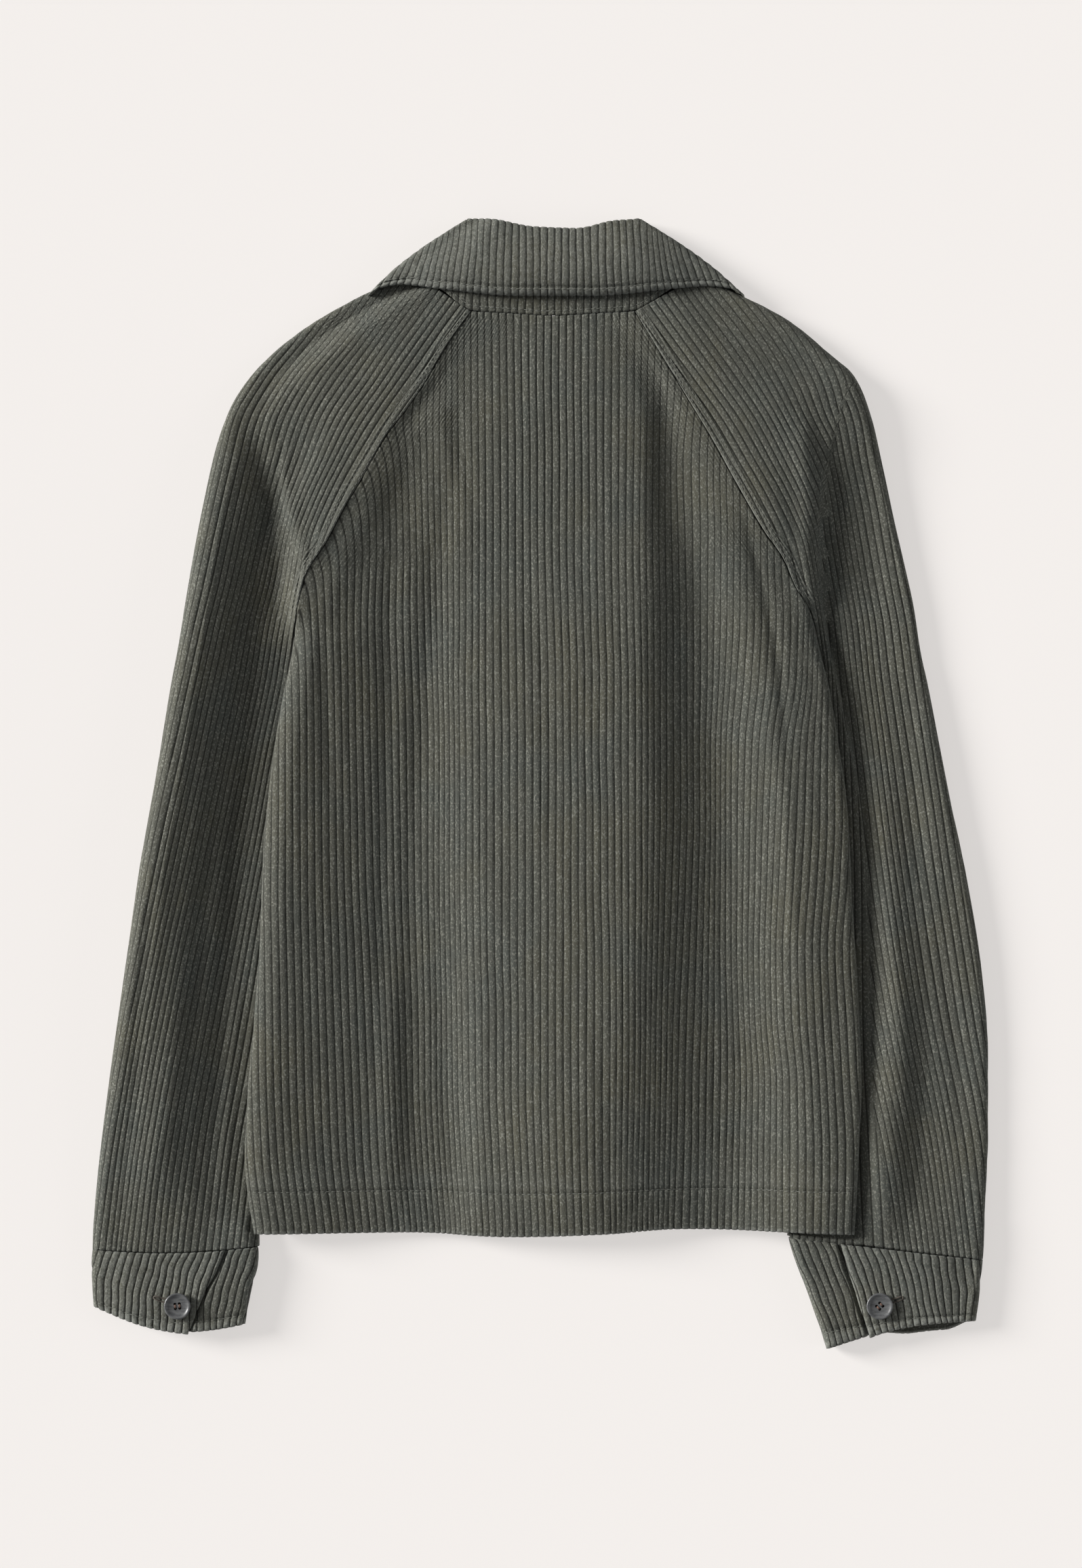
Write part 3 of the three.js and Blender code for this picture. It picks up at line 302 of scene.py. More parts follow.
# Makes one closed cloth wall. points is a grid of places on the cloth's pile side, wale the number of the
# wale there and pile how full its ribs stand. The plain woven back of the cloth needs fewer points.
def cloth_piece(name, points, facing, wale, pile, wear, thick, steps=(5, 8)):
    rows, columns = wale.shape
    normals = surface_normals(points, facing)
    within = wale - np.floor(wale)
    from_middle = np.abs(2 * within - 1)
    crest = CREST_WAVE * np.sin(wale.round() * 2.3 + points[..., 1] / 23)
    depth = WALE_DEPTH * pile * (from_middle ** RIB_SHARPNESS + crest * (1 - from_middle))
    outer = points - normals * depth[..., None]
    kept_rows = kept_lines(rows, steps[0])
    kept_columns = kept_lines(columns, steps[1])
    pick = np.ix_(kept_rows, kept_columns)
    inner = points[pick] - normals[pick] * np.broadcast_to(thick, wale.shape)[pick][..., None]
    grid = np.arange(wale.size).reshape(rows, columns)
    coarse = wale.size + np.arange(inner[..., 0].size).reshape(len(kept_rows), len(kept_columns))
    faces = grid_quads(grid, facing) + grid_quads(coarse, facing, inside=True)

    def add_rim(fine_line, coarse_line, kept, forward):
        for k in range(len(kept) - 1):
            middle = (kept[k] + kept[k + 1]) // 2
            corners = [(fine_line[middle], coarse_line[k], coarse_line[k + 1])]
            for m in range(kept[k], middle):
                corners.append((fine_line[m], coarse_line[k], fine_line[m + 1]))
            for m in range(middle, kept[k + 1]):
                corners.append((fine_line[m], coarse_line[k + 1], fine_line[m + 1]))
            for corner in corners:
                faces.append(corner if forward == (facing > 0) else corner[::-1])

    add_rim(grid[:, 0].tolist(), coarse[:, 0].tolist(), kept_rows, True)
    add_rim(grid[:, -1].tolist(), coarse[:, -1].tolist(), kept_rows, False)
    add_rim(grid[0].tolist(), coarse[0].tolist(), kept_columns, False)
    add_rim(grid[-1].tolist(), coarse[-1].tolist(), kept_columns, True)
    places = np.concatenate([outer.reshape(-1, 3), inner.reshape(-1, 3)]) * MM
    piece = add_piece(name, places.tolist(), faces, cloth)
    blank = np.zeros(coarse.size)
    layers = {
        "wale": np.concatenate([wale.ravel(), wale[pick].ravel()]),
        "pile": np.concatenate([np.broadcast_to(pile, wale.shape).ravel(), blank]),
        "wear": np.concatenate([np.broadcast_to(wear, wale.shape).ravel(), blank]),
    }
    for layer, values in layers.items():
        attribute = piece.data.attributes.new(layer, "FLOAT", "POINT")
        attribute.data.foreach_set("value", values.astype(np.float32))
    return piece, BVHTree.FromPolygons(outer.reshape(-1, 3).tolist(), grid_quads(grid, 1))


class Nodes:
    # Short ways to put a material's nodes down and join them
    def __init__(self, name):
        self.material = bpy.data.materials.new(name)
        self.material.use_nodes = True
        self.tree = self.material.node_tree
        self.shader = self.tree.nodes["Principled BSDF"]

    def set(self, node, socket, value):
        if isinstance(value, bpy.types.NodeSocket):
            self.tree.links.new(value, node.inputs[socket])
        else:
            node.inputs[socket].default_value = value

    def math(self, operation, first, second=0.0, third=0.0):
        node = self.tree.nodes.new("ShaderNodeMath")
        node.operation = operation
        self.set(node, 0, first)
        self.set(node, 1, second)
        self.set(node, 2, third)
        return node.outputs[0]

    def step(self, value, low, high, low_to=0.0, high_to=1.0):
        node = self.tree.nodes.new("ShaderNodeMapRange")
        node.interpolation_type = "SMOOTHSTEP"
        self.set(node, "Value", value)
        limits = {"From Min": low, "From Max": high, "To Min": low_to, "To Max": high_to}
        for socket, number in limits.items():
            self.set(node, socket, number)
        return node.outputs["Result"]

    def noise(self, size_mm, detail=2.0, place=None, stretch=(1, 1, 1)):
        mapping = self.tree.nodes.new("ShaderNodeMapping")
        mapping.inputs["Scale"].default_value = stretch
        source = self.tree.nodes.new("ShaderNodeTexCoord").outputs["Object"] if place is None else place
        self.tree.links.new(source, mapping.inputs["Vector"])
        node = self.tree.nodes.new("ShaderNodeTexNoise")
        self.tree.links.new(mapping.outputs[0], node.inputs["Vector"])
        node.inputs["Scale"].default_value = 1 / (size_mm * MM)
        node.inputs["Detail"].default_value = detail
        return node.outputs["Fac"]

    # Each rib's own shade, which also changes slowly along it
    def rib_tone(self, wale):
        number = self.math("FLOOR", wale)
        join = self.tree.nodes.new("ShaderNodeCombineXYZ")
        spread = self.tree.nodes.new("ShaderNodeSeparateXYZ")
        self.tree.links.new(self.tree.nodes.new("ShaderNodeTexCoord").outputs["Object"], spread.inputs[0])
        self.set(join, 0, self.math("MULTIPLY", number, 0.037))
        self.set(join, 1, self.math("MULTIPLY", spread.outputs[1], 0.35))
        return self.noise(22, 1.0, join.outputs[0])

    def attribute(self, name):
        node = self.tree.nodes.new("ShaderNodeAttribute")
        node.attribute_name = name
        return node.outputs["Fac"]

    def blend(self, share, first, second):
        node = self.tree.nodes.new("ShaderNodeMix")
        node.data_type = "RGBA"
        self.set(node, 0, share)
        self.set(node, 6, first)
        self.set(node, 7, second)
        return node.outputs[2]

    def bump(self, height, distance_mm, strength, under=None):
        node = self.tree.nodes.new("ShaderNodeBump")
        node.inputs["Distance"].default_value = distance_mm * MM
        node.inputs["Strength"].default_value = strength
        self.tree.links.new(height, node.inputs["Height"])
        if under is not None:
            self.tree.links.new(under, node.inputs["Normal"])
        return node.outputs["Normal"]


# Washed grey-green cotton corduroy: soft raised ribs with furrows between them painted dark as shade, pale
# twill flecks in the pile, brownish and bluish patches from wear, and rubbed edges that have gone pale; on
# the cuffs that pale colour is also painted light.
def corduroy(name, tint, shade):
    nodes = Nodes(name)
    wale = nodes.attribute("wale")
    pile = nodes.attribute("pile")
    wear = nodes.attribute("wear")
    within = nodes.math("FRACT", wale)
    from_middle = nodes.math("ABSOLUTE", nodes.math("MULTIPLY_ADD", within, 2.0, -1.0))
    # The furrows between the ribs are painted dark as shade, the more so where the pile stands fuller.
    furrow_shade = nodes.math("MULTIPLY", nodes.step(from_middle, 0.74, 0.94), pile)
    patch = nodes.noise(70, 3.0)
    small_patch = nodes.noise(16, 3.0, stretch=(1.0, 0.45, 1.0))
    fleck = nodes.noise(1.1, 2.0, stretch=(1.0, 0.7, 1.0))
    nap = nodes.noise(0.6, 1.0)
    own_tone = nodes.rib_tone(wale)
    base = nodes.blend(nodes.step(patch, 0.4, 0.62), (*tint["cool"], 1), (*tint["warm"], 1))
    base = nodes.blend(nodes.step(small_patch, 0.35, 0.7), base, (*tint["middle"], 1))
    flecked = nodes.blend(nodes.step(fleck, 0.5, 0.68), base, (*tint["fleck"], 1))
    napped = nodes.blend(nodes.step(nap, 0.42, 0.62, 0.0, 0.22), flecked, (*tint["deep"], 1))
    toned = nodes.blend(nodes.step(own_tone, 0.25, 0.75, 0.0, 0.34), napped, (*tint["deep"], 1))
    # The wear attribute paints rubbed edges pale, and on the cuffs painted light as well.
    pale_rub_and_light_share = nodes.math("MULTIPLY", wear, nodes.step(nodes.noise(3.2, 3.0), 0.25, 0.6))
    worn = nodes.blend(pale_rub_and_light_share, toned, (*tint["worn"], 1))
    groove_shaded = nodes.blend(nodes.math("MULTIPLY", furrow_shade, shade), worn, (*tint["furrow_shade"], 1))
    nodes.set(nodes.shader, "Base Color", groove_shaded)
    rib = nodes.math("POWER", from_middle, 5.0)
    rib_bump = nodes.bump(nodes.math("MULTIPLY", nodes.math("SUBTRACT", 1.0, rib), pile), 0.5, 0.5)
    fine_bump = nodes.bump(nap, 0.3, 0.6, rib_bump)
    nodes.set(nodes.shader, "Normal", nodes.bump(fleck, 0.5, 0.55, fine_bump))
    nodes.set(nodes.shader, "Roughness", 0.92)
    nodes.set(nodes.shader, "Specular IOR Level", 0.22)
    nodes.set(nodes.shader, "Sheen Weight", 0.12)
    nodes.set(nodes.shader, "Sheen Roughness", 0.45)
    nodes.set(nodes.shader, "Sheen Tint", (0.80, 0.84, 0.82, 1))
    return nodes.material


CLOTH_TINT = {
    "cool": (0.080, 0.086, 0.076),
    "warm": (0.094, 0.092, 0.070),
    "middle": (0.086, 0.087, 0.073),
    "fleck": (0.205, 0.208, 0.180),
    "deep": (0.044, 0.045, 0.038),
    # the furrows' painted shade
    "furrow_shade": (0.022, 0.022, 0.018),
    "worn": (0.212, 0.220, 0.200),
}
cloth = corduroy("corduroy", CLOTH_TINT, 0.85)


# The levels of a panel's rows of points: even ones, and close ones wherever stitching draws the cloth in
def row_levels(top, bottom, pitch, fine_at):
    count = int(round(abs(top - bottom) / pitch))
    levels = list(np.linspace(top, bottom, count + 1))
    for place in fine_at:
        for near in (-2.4, -1.5, -0.8, 0, 0.8, 1.5, 2.4):
            if min(top, bottom) < place + near < max(top, bottom):
                levels.append(place + near)
    levels = sorted(set(round(level, 3) for level in levels), reverse=top > bottom)
    closest = 0.45
    spaced = [levels[0]]
    for level in levels[1:]:
        if abs(level - spaced[-1]) > closest:
            spaced.append(level)
    spaced[-1] = levels[-1]
    return np.array(spaced)


# A pinched line where thread pulls the pile down
def pinch(distance, width, depth):
    return depth * np.exp(-((distance / width) ** 2))


BACK_COLUMNS = 440
ROW_PITCH = 3.5
SEAM_ROLL = 1.6
HEM_ROLL = 2.6
STITCH_PINCH = 1.3
LEAN_LEFT = 6.5
LEAN_RIGHT = 1.5
levels = row_levels(NECK_Y, HEM_Y, ROW_PITCH, [HEM_STITCH_Y, HEM_Y + 1.5, NECK_Y - 1.5])
back_rows = []
for level in levels:
    edges = side_edges(level)
    x = np.linspace(edges["left"], edges["right"], BACK_COLUMNS)
    top = back_height(x, level, edges)
    on_left = x < CENTRE_X
    lift = np.where(on_left, edges["left_lift"], edges["right_lift"])
    over = np.where(on_left, edges["left_over"], edges["right_over"])
    inward = np.where(on_left, x - edges["left"], edges["right"] - x)
    middle = mix(lift, top, 0.5) + SEAM_GAP / 2
    reach = np.where(on_left, LEFT_FOLD_ROUND, FOLD_ROUND)
    z = mix(top, middle + (top - middle) * rounded_edge(inward, reach), over)
    z -= 0.45 * (1 - over) * (1 - rounded_edge(inward, SEAM_ROLL))
    back_rows.append(np.stack([x, level_y(level, x), z], axis=1))
back_points = np.array(back_rows)
back_x, back_y = back_points[..., 0], back_points[..., 1]
level_grid = np.broadcast_to(levels[:, None], back_x.shape)
inward = np.minimum(back_x - back_x[:, :1], back_x[:, -1:] - back_x)
back_points[..., 2] += crease_height(back_x, back_y, BACK_CREASES) * ease(inward / 8)
back_points[..., 2] += 0.5 * unevenness(back_x, back_y, 1.0) * ease(inward / 12)
back_points[..., 2] -= pinch(level_grid - HEM_STITCH_Y, STITCH_PINCH, 0.75)
back_points[..., 2] -= 1.3 * (1 - rounded_edge(level_grid - HEM_Y, HEM_ROLL))
back_points[..., 2] -= 0.4 * (1 - rounded_edge(NECK_Y - level_grid, SEAM_ROLL))
# Near the raglan seams the wales lean out towards the seam, because the cloth is eased into it.
to_left_seam = curve(LEFT_SIDE["body"][:11], LEFT_SIDE["y"][:11], back_x) - back_y
to_right_seam = curve(RIGHT_SIDE["body"][:9], RIGHT_SIDE["y"][:9], back_x) - back_y
off_centre = ease((np.abs(back_x - CENTRE_X) - 8) / 55)
left_lean = LEAN_LEFT * np.exp(-np.maximum(to_left_seam, 0) / 20) * ease((270 - back_y) / 35)
right_lean = LEAN_RIGHT * np.exp(-np.maximum(to_right_seam, 0) / 30)
lean = np.where(back_x < CENTRE_X, left_lean, 0) * off_centre
lean -= np.where(back_x > CENTRE_X, right_lean, 0) * off_centre
back_wale = wale_number(back_x + lean, back_y, BACK_WALES)
back_wale += 0.10 * unevenness(2.3 * back_x, 0.8 * back_y, 4.0)
# Where the cloth turns down steeply at the side folds, more wales lie in the same width seen from above.
runs = np.abs(np.diff(back_x, axis=1))
steep = np.maximum(0, np.hypot(runs, np.diff(back_points[..., 2], axis=1)) - 1.2 * runs) / WALE_PITCH
middle_column = BACK_COLUMNS // 2
back_wale[:, :middle_column] -= np.cumsum(steep[:, middle_column - 1::-1], axis=1)[:, ::-1]
back_wale[:, middle_column + 1:] += np.cumsum(steep[:, middle_column:], axis=1)
back_wear = 0.75 * ease((HEM_Y + 3.4 - level_grid) / 3.2)
back_wear += 0.12 * np.exp(-(((level_grid + 268) / 5) ** 2))
back, back_surface = cloth_piece("back_panel", back_points, 1, back_wale, 1.0, back_wear, CLOTH)
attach(back, "root")
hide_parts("back")


# Rows of topstitching: matching cotton thread, one short raised stitch after another, drawn down into the
# pile. Each row follows a path over the cloth that it is sewn through.
def thread_material(name, colour):
    nodes = Nodes(name)
    strand = nodes.noise(0.35, 1.0)
    shaded = nodes.blend(nodes.step(strand, 0.3, 0.7), (*colour, 1), (*(1.9 * c for c in colour), 1))
    nodes.set(nodes.shader, "Base Color", shaded)
    nodes.set(nodes.shader, "Roughness", 0.7)
    nodes.set(nodes.shader, "Sheen Weight", 0.1)
    nodes.set(nodes.shader, "Normal", nodes.bump(strand, 0.1, 0.6))
    return nodes.material


thread = thread_material("sewing_thread", (0.080, 0.083, 0.070))
THREAD_RADIUS = 0.3
THREAD_SINK = 0.05
THREAD_SIDES = 6
STITCH_LENGTH = 3.1
STITCH_GAP = 0.7
FIRST_STITCH = 0.6
# How thick a stitch is at each share of its length
STITCH_SHAPE = {0: 0.35, 0.25: 0.9, 0.5: 1, 0.75: 0.9, 1: 0.35}
ABOVE_ALL = 60


# down is 1 for stitches that are seen from above and -1 for those on the underside
def stitch_rows(name, rows, surface, down):
    corners = []
    faces = []
    for path in rows:
        path = np.array(path, float)
        steps = np.hypot(*np.diff(path, axis=0).T)
        run = np.concatenate([[0], np.cumsum(steps)])
        start = FIRST_STITCH
        while start + STITCH_LENGTH < run[-1]:
            ring_places = []
            for share in STITCH_SHAPE:
                at = start + share * STITCH_LENGTH
                x = np.interp(at, run, path[:, 0])
                y = np.interp(at, run, path[:, 1])
                hit = surface.ray_cast(Vector((x, y, ABOVE_ALL * down)), Vector((0, 0, -down)))
                if hit[0] is None:
                    break
                rise = THREAD_RADIUS * math.sin(math.pi * share) - THREAD_SINK
                ring_places.append(hit[0] + Vector((0, 0, down * rise)))
            start += STITCH_LENGTH + STITCH_GAP
            if len(ring_places) < len(STITCH_SHAPE):
                continue
            way = (ring_places[-1] - ring_places[0]).normalized()
            side = way.cross(Vector((0, 0, 1))).normalized()
            lift = side.cross(way)
            first = len(corners)
            for thickness, place in zip(STITCH_SHAPE.values(), ring_places):
                for k in range(THREAD_SIDES):
                    turn = math.tau * k / THREAD_SIDES
                    offset = side * math.cos(turn) + lift * math.sin(turn)
                    corners.append((place + offset * THREAD_RADIUS * thickness) * MM)
            last = len(corners) - THREAD_SIDES
            for ring in range(first, last, THREAD_SIDES):
                for k in range(THREAD_SIDES):
                    a = ring + k
                    b = ring + (k + 1) % THREAD_SIDES
                    faces.append((a, b, b + THREAD_SIDES, a + THREAD_SIDES))
            faces.append(tuple(first + k for k in reversed(range(THREAD_SIDES))))
            faces.append(tuple(last + k for k in range(THREAD_SIDES)))
    piece = add_piece(name, corners, faces, thread)
    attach(piece, "root")
    return piece


hem_edges = side_edges(HEM_STITCH_Y)
hem_x = np.linspace(hem_edges["left"] + 3, hem_edges["right"] - 3, 90)
hem_stitching = stitch_rows(
    "hem_stitching_back", [np.stack([hem_x, level_y(HEM_STITCH_Y, hem_x)], axis=1)], back_surface, 1
)

# The two fronts: each one piece of the same corduroy from the neck to the hem, lying face down under the
# back. The right front laps over the left one, so here it is the lower of the two at the centre.
RAMP = 18
RAMP_START = 1.5
PLACKET_HALF = 16
BUTTON_THICK = 3
BUTTON_TOP_Y = 232
BUTTON_PITCH = 118
COLLAR_ROOM = 3.2
HEM_ROOM = 1.2
FRONT_NECK_DROP = 19.1
FRONT_COLUMNS = 176
FRONT_ROW_PITCH = 4.6
FRONT_CLOTH = 1.9


# The collar's front points lie between the jacket and the floor, so the cloth there is raised over them.
def collar_cover(x, y):
    return COLLAR_ROOM * ease((y - 238) / 15) * ease((150 - np.abs(x - CENTRE_X)) / 15)


def front_height(x, y, edges, on_top):
    left_share = ease((edges["left_sleeve"] + RAMP + RAMP_START - x) / RAMP)
    right_share = ease((x - edges["right_sleeve"] + RAMP + RAMP_START) / RAMP)
    side = np.where(x < CENTRE_X, edges["left_lift"] * left_share, edges["right_lift"] * right_share)
    from_centre = x - CENTRE_X
    buttons = (BUTTON_THICK + SEAM_GAP) * ease((BUTTON_TOP_Y + 32 - y) / 16)
    hem_extra = HEM_ROOM * ease((-262 - y) / 8)
    if on_top:
        lap = ease((from_centre + PLACKET_HALF + 10) / 9)
        return side + collar_cover(x, y) + lap * (buttons + CLOTH + SEAM_GAP + hem_extra)
    return side + collar_cover(x, y) + buttons * ease((PLACKET_HALF + 8 - from_centre) / 8)


def front_panel(name, node, side):
    is_left = side == "left"
    sign = 1 if is_left else -1
    rows = []
    front_levels = row_levels(NECK_Y, HEM_Y, FRONT_ROW_PITCH, [HEM_STITCH_Y])
    for level in front_levels:
        edges = side_edges(level)
        over = edges[f"{side}_over"]
        side_x = edges[side]
        x = np.linspace(side_x, CENTRE_X + sign * PLACKET_HALF, FRONT_COLUMNS)
        bottom = front_height(x, level, edges, is_left)
        top = back_height(x, level, edges)
        middle = mix(edges[f"{side}_lift"], top, 0.5) - SEAM_GAP / 2
        inward = np.abs(x - side_x)
        folded = middle - (middle - bottom) * rounded_edge(inward, FOLD_ROUND)
        neck_share = ease((level - 262) / 40) * ease((60 - np.abs(x - CENTRE_X)) / 45)
        y = level_y(level, x) - FRONT_NECK_DROP * neck_share
        rows.append(np.stack([x, y, mix(bottom, folded, over)], axis=1))
    points = np.array(rows)
    level_grid = np.broadcast_to(front_levels[:, None], points.shape[:2])
    points[..., 2] += pinch(level_grid - HEM_STITCH_Y, STITCH_PINCH, 0.5)
    points[..., 2] += 0.6 * (1 - rounded_edge(level_grid - HEM_Y, HEM_ROLL))
    wale = (points[..., 0] - CENTRE_X) / WALE_PITCH + 0.5
    wear = 0.7 * ease((HEM_Y + 3 - level_grid) / 3)
    piece, surface = cloth_piece(name, points, -1 if is_left else 1, wale, 1.0, wear, FRONT_CLOTH)
    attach(piece, "root")
    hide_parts(node)
    hem = points[int(np.argmin(np.abs(front_levels - HEM_STITCH_Y)))]
    placket_x = CENTRE_X + sign * (PLACKET_HALF - 4)
    placket = [(placket_x, y) for y in np.linspace(296, -300, 60)]
    stitching = stitch_rows(f"{name}_stitching", [hem[4:-4, :2], placket], surface, -1)


front_panel("front_panel_left", "front_left", "left")
front_panel("front_panel_right", "front_right", "right")

# The raglan sleeves: each one piece from the neck to the cuff, folded flat along its outer edge. The
# lapped seam stands up a little on the sleeve's side and is topstitched twice.
STRIP_WIDTH = 6
STRIP_RAISE = 0.7
SEAM_STITCHES = (1.4, 5.0)
SEAM_STITCH_ROW = 40
SLEEVE_FOLD_ROUND = 1.2
OUTER_FOLD_ROUND = 9
END_ROLL = 2.0
TUCK_CLOTH = 0.8
SLEEVE_ACROSS = [0, 0.12, 0.3, 0.5, 0.7, 0.9]
# The sleeve's end turns into the cuff: how far in and how far down each last row of points lies
TUCK = [(1.2, 0.1), (2.5, 0.2), (3.6, 1.6), (3.8, 3.4)]
LEFT_SLEEVE = {
    "in_y": [321.5, 299, 270, 247, 222, 196, 170, 146, 124, 106, 84, 60, 0, -60, -120, -180, -230, -275,
             -300, -313],
    "out_x": [-85, -109.5, -151, -176, -195, -210, -220, -229, -236, -241, -245, -250, -261, -272, -281,
              -290, -297, -302, -304, -304.5],
    "out_y": [347, 338.5, 317, 299, 280.5, 258, 230, 190, 153, 123, 98, 71, 5, -57, -119, -181, -232, -276,
              -300, -315],
    "h0": [14, 17, 19, 20, 21.5, 24, 24.5, 23.7, 23.2, 17, 9.5, 8.5, 8, 8, 8, 8, 8, 8.5, 9, 9],
    "h1": [14, 16.5, 19, 20, 21, 22.6, 22.4, 20, 17.5, 12, 8.5, 8, 8, 8, 8, 8, 8.5, 9, 9.5, 10],
    "h2": [14, 16, 18.5, 19, 19.5, 20, 18.5, 13, 10.5, 9.5, 9, 8.5, 8, 7.5, 7.5, 8, 9.5, 11, 12, 12.5],
    "h3": [13.5, 15, 17, 18, 16.5, 15, 12.5, 12, 12.5, 12.5, 13, 13, 13.5, 13.5, 13.5, 14.5, 15.5, 15.5,
           15, 13.5],
    "h4": [13, 14, 16, 17, 15.5, 14.5, 15.5, 18.5, 19.5, 20, 20.5, 20.5, 20.5, 20.5, 21, 21.5, 21, 18,
           15.5, 13.5],
    "h5": [8, 7.5, 7.5, 8.5, 9.5, 13.5, 19.5, 23, 24.5, 25.5, 26, 26, 26, 26, 25, 22.5, 18, 14.5, 13, 12],
}
RIGHT_SLEEVE = {
    "in_y": [321.5, 295, 270, 258, 233, 204, 177, 154, 133, 115, 92, 68, 0, -60, -120, -180, -235, -275,
             -300, -306],
    "out_x": [109, 132, 168, 194, 214, 225, 233, 240.5, 247.3, 254, 258, 263, 276.8, 289.8, 299.8, 304.6,
              304.6, 302.8, 301.8, 301],
    "out_y": [347, 335, 316.5, 295.5, 277, 250, 216, 181, 152, 122, 95, 71, 0, -62, -123, -182, -238, -280,
              -308, -322],
    "h0": [14, 17, 19, 20, 21, 22, 22.5, 21.5, 18.5, 14, 9.5, 8.5, 8, 8, 8, 8, 8, 8.5, 9, 9],
    "h1": [14, 17, 19, 20, 21.5, 23.2, 23, 20, 15, 11, 9, 8.5, 8, 8, 8, 8, 8, 8.5, 9, 9.3],
    "h2": [14, 17, 19, 20, 21.5, 22.2, 19.8, 15.8, 13, 12.5, 12.5, 11.5, 9.5, 9, 9, 9, 9, 9, 9.5, 10.5],
    "h3": [13.5, 16, 17.5, 18.5, 20.5, 21, 17, 12.2, 10.7, 10.4, 10.3, 10.7, 12, 12.8, 14, 15.3, 15.8, 15,
           13.5, 12.8],
    "h4": [13, 14, 15.5, 16, 17.5, 15.5, 11.5, 9.8, 9.2, 9.2, 9.4, 9.8, 10.4, 10.2, 10, 9.6, 9.4, 9.5, 11,
           12.8],
    "h5": [12.5, 13.5, 14.8, 15.2, 16.5, 15, 12.2, 11, 10.3, 10.1, 10.1, 10.6, 11.4, 11, 10.5, 9.8, 9.8,
           10.4, 11.4, 12.4],
}
LEFT_SLEEVE_CREASES = [
    {"path": [(-183, 262), (-176, 200), (-164, 158), (-172, 118)], "z": 1.7, "wide": 7},
    {"path": [(-199, 247), (-185, 195), (-178, 142), (-176, 100)], "z": -2.0, "wide": 7},
    {"path": [(-232, 190), (-240, 120), (-252, 20)], "z": -1.0, "wide": 5},
    {"path": [(-214, 60), (-222, -20), (-232, -110), (-240, -200)], "z": -1.1, "wide": 6},
    {"path": [(-262, -60), (-272, -150), (-276, -230)], "z": -0.9, "wide": 6},
    {"path": [(-205, -120), (-212, -210), (-216, -290)], "z": 0.8, "wide": 5},
    {"path": [(-150, 283), (-170, 255), (-190, 215)], "z": -0.8, "wide": 6},
]
RIGHT_SLEEVE_CREASES = [
    {"path": [(181, 262), (178, 200), (181, 150), (190, 110)], "z": 1.6, "wide": 7},
    {"path": [(246, 90), (254, 0), (262, -80)], "z": -0.9, "wide": 6},
    {"path": [(234, -60), (244, -150), (250, -240)], "z": 1.0, "wide": 6},
    {"path": [(268, -80), (282, -170), (286, -250)], "z": -0.8, "wide": 6},
    {"path": [(216, 240), (222, 190), (232, 120)], "z": -0.8, "wide": 6},
]
SLEEVE_WALE_Y = [345, 303, 275, 248, 220, 193, 165, 137, 110, 73, 27, -65, -157, -249, -320]
LEFT_SLEEVE_WALES = {
    "y": SLEEVE_WALE_Y,
    "paths": {
        0: [-141, -171, -193, -208, -214, -220, -226, -232, -238, -246, -257, -279, -299, -317, -330],
        3.0: [-124, -155, -177, -192, -199, -205, -211, -217, -224, -232, -242, -262, -281, -298, -310],
        6.6: [-108, -138.5, -161, -176, -184, -191, -197, -203, -210, -218, -228, -248, -268, -284, -293],
        10.5: [-90, -120, -141, -157, -167, -176, -183, -189, -196, -203, -213, -233, -253, -270, -280],
        14.5: [-70, -100, -119, -137, -150, -162, -171, -176, -182, -188, -198, -217, -236, -253, -262],
        18.9: [-47, -77, -96, -115, -131, -145, -156, -161, -166.5, -172, -181, -199, -217, -234, -243],
        26.9: [0, -30, -50, -70, -88, -105, -120, -132, -140, -147, -156, -168, -180, -196, -205],
    },
}
# On the left sleeve the shoulder's cloth ends in a short fold above the underarm.
LEFT_FOLD = {
    "y": [262, 228, 213, 192, 171, 151, 140, 122, 104],
    "x": [-178, -172.5, -175.5, -173.5, -168, -162, -160, -165, -172],
    "drop": [0, 1.2, 2.6, 3.4, 3.6, 3.6, 3, 2, 0],
}
# On the right sleeve one fold parts two fields of wales: those of the shoulder run down into it, and those
# of the arm run beside it to the cuff.
RIGHT_FOLD = {
    "y": [300, 255, 222, 192, 160, 127, 63, -27, -107, -214, -290],
    "x": [222, 204, 196, 191, 189.5, 191, 203, 219, 223, 226, 238],
    "drop": [0, 0, 1.6, 4.4, 6.0, 6.0, 4.0, 2.4, 1.7, 1.0, 0],
}
RIGHT_SHOULDER_WALES = {
    "y": SLEEVE_WALE_Y,
    "paths": {
        -4.6: [38, 68, 89, 108, 125, 141, 154, 162, 168, 172, 173, 170, 168, 168, 168],
        0: [66, 96, 116, 135, 151, 166, 178, 184, 189, 193, 193, 190, 189, 190, 192],
        3.9: [90, 120, 139, 156, 170, 182, 190, 194, 198, 203, 206, 208, 208, 210, 212],
        6.2: [103, 134, 152, 167, 181, 192, 199, 202, 206, 211, 215, 219, 220, 224, 228],
    },
}
RIGHT_ARM_WALES = {
    "y": SLEEVE_WALE_Y,
    "paths": {
        8.8: [118, 148, 166, 181, 188, 193, 197, 202, 207, 211, 217, 228, 243, 262, 272],
        13.8: [142, 172, 188, 200, 206, 212, 217, 222, 227, 231, 237, 250, 265, 283, 292],
        17.3: [163, 193, 208, 219, 224, 230, 235, 240, 245, 250, 257, 271, 285, 302, 310],
        21.0: [183, 213, 228, 239, 244, 250, 255, 260, 265, 270, 277, 291, 305, 322, 330],
    },
}
SLEEVE_TOP_COLUMNS = 168
SLEEVE_FOLD_COLUMNS = 18
SLEEVE_BOTTOM_COLUMNS = 96


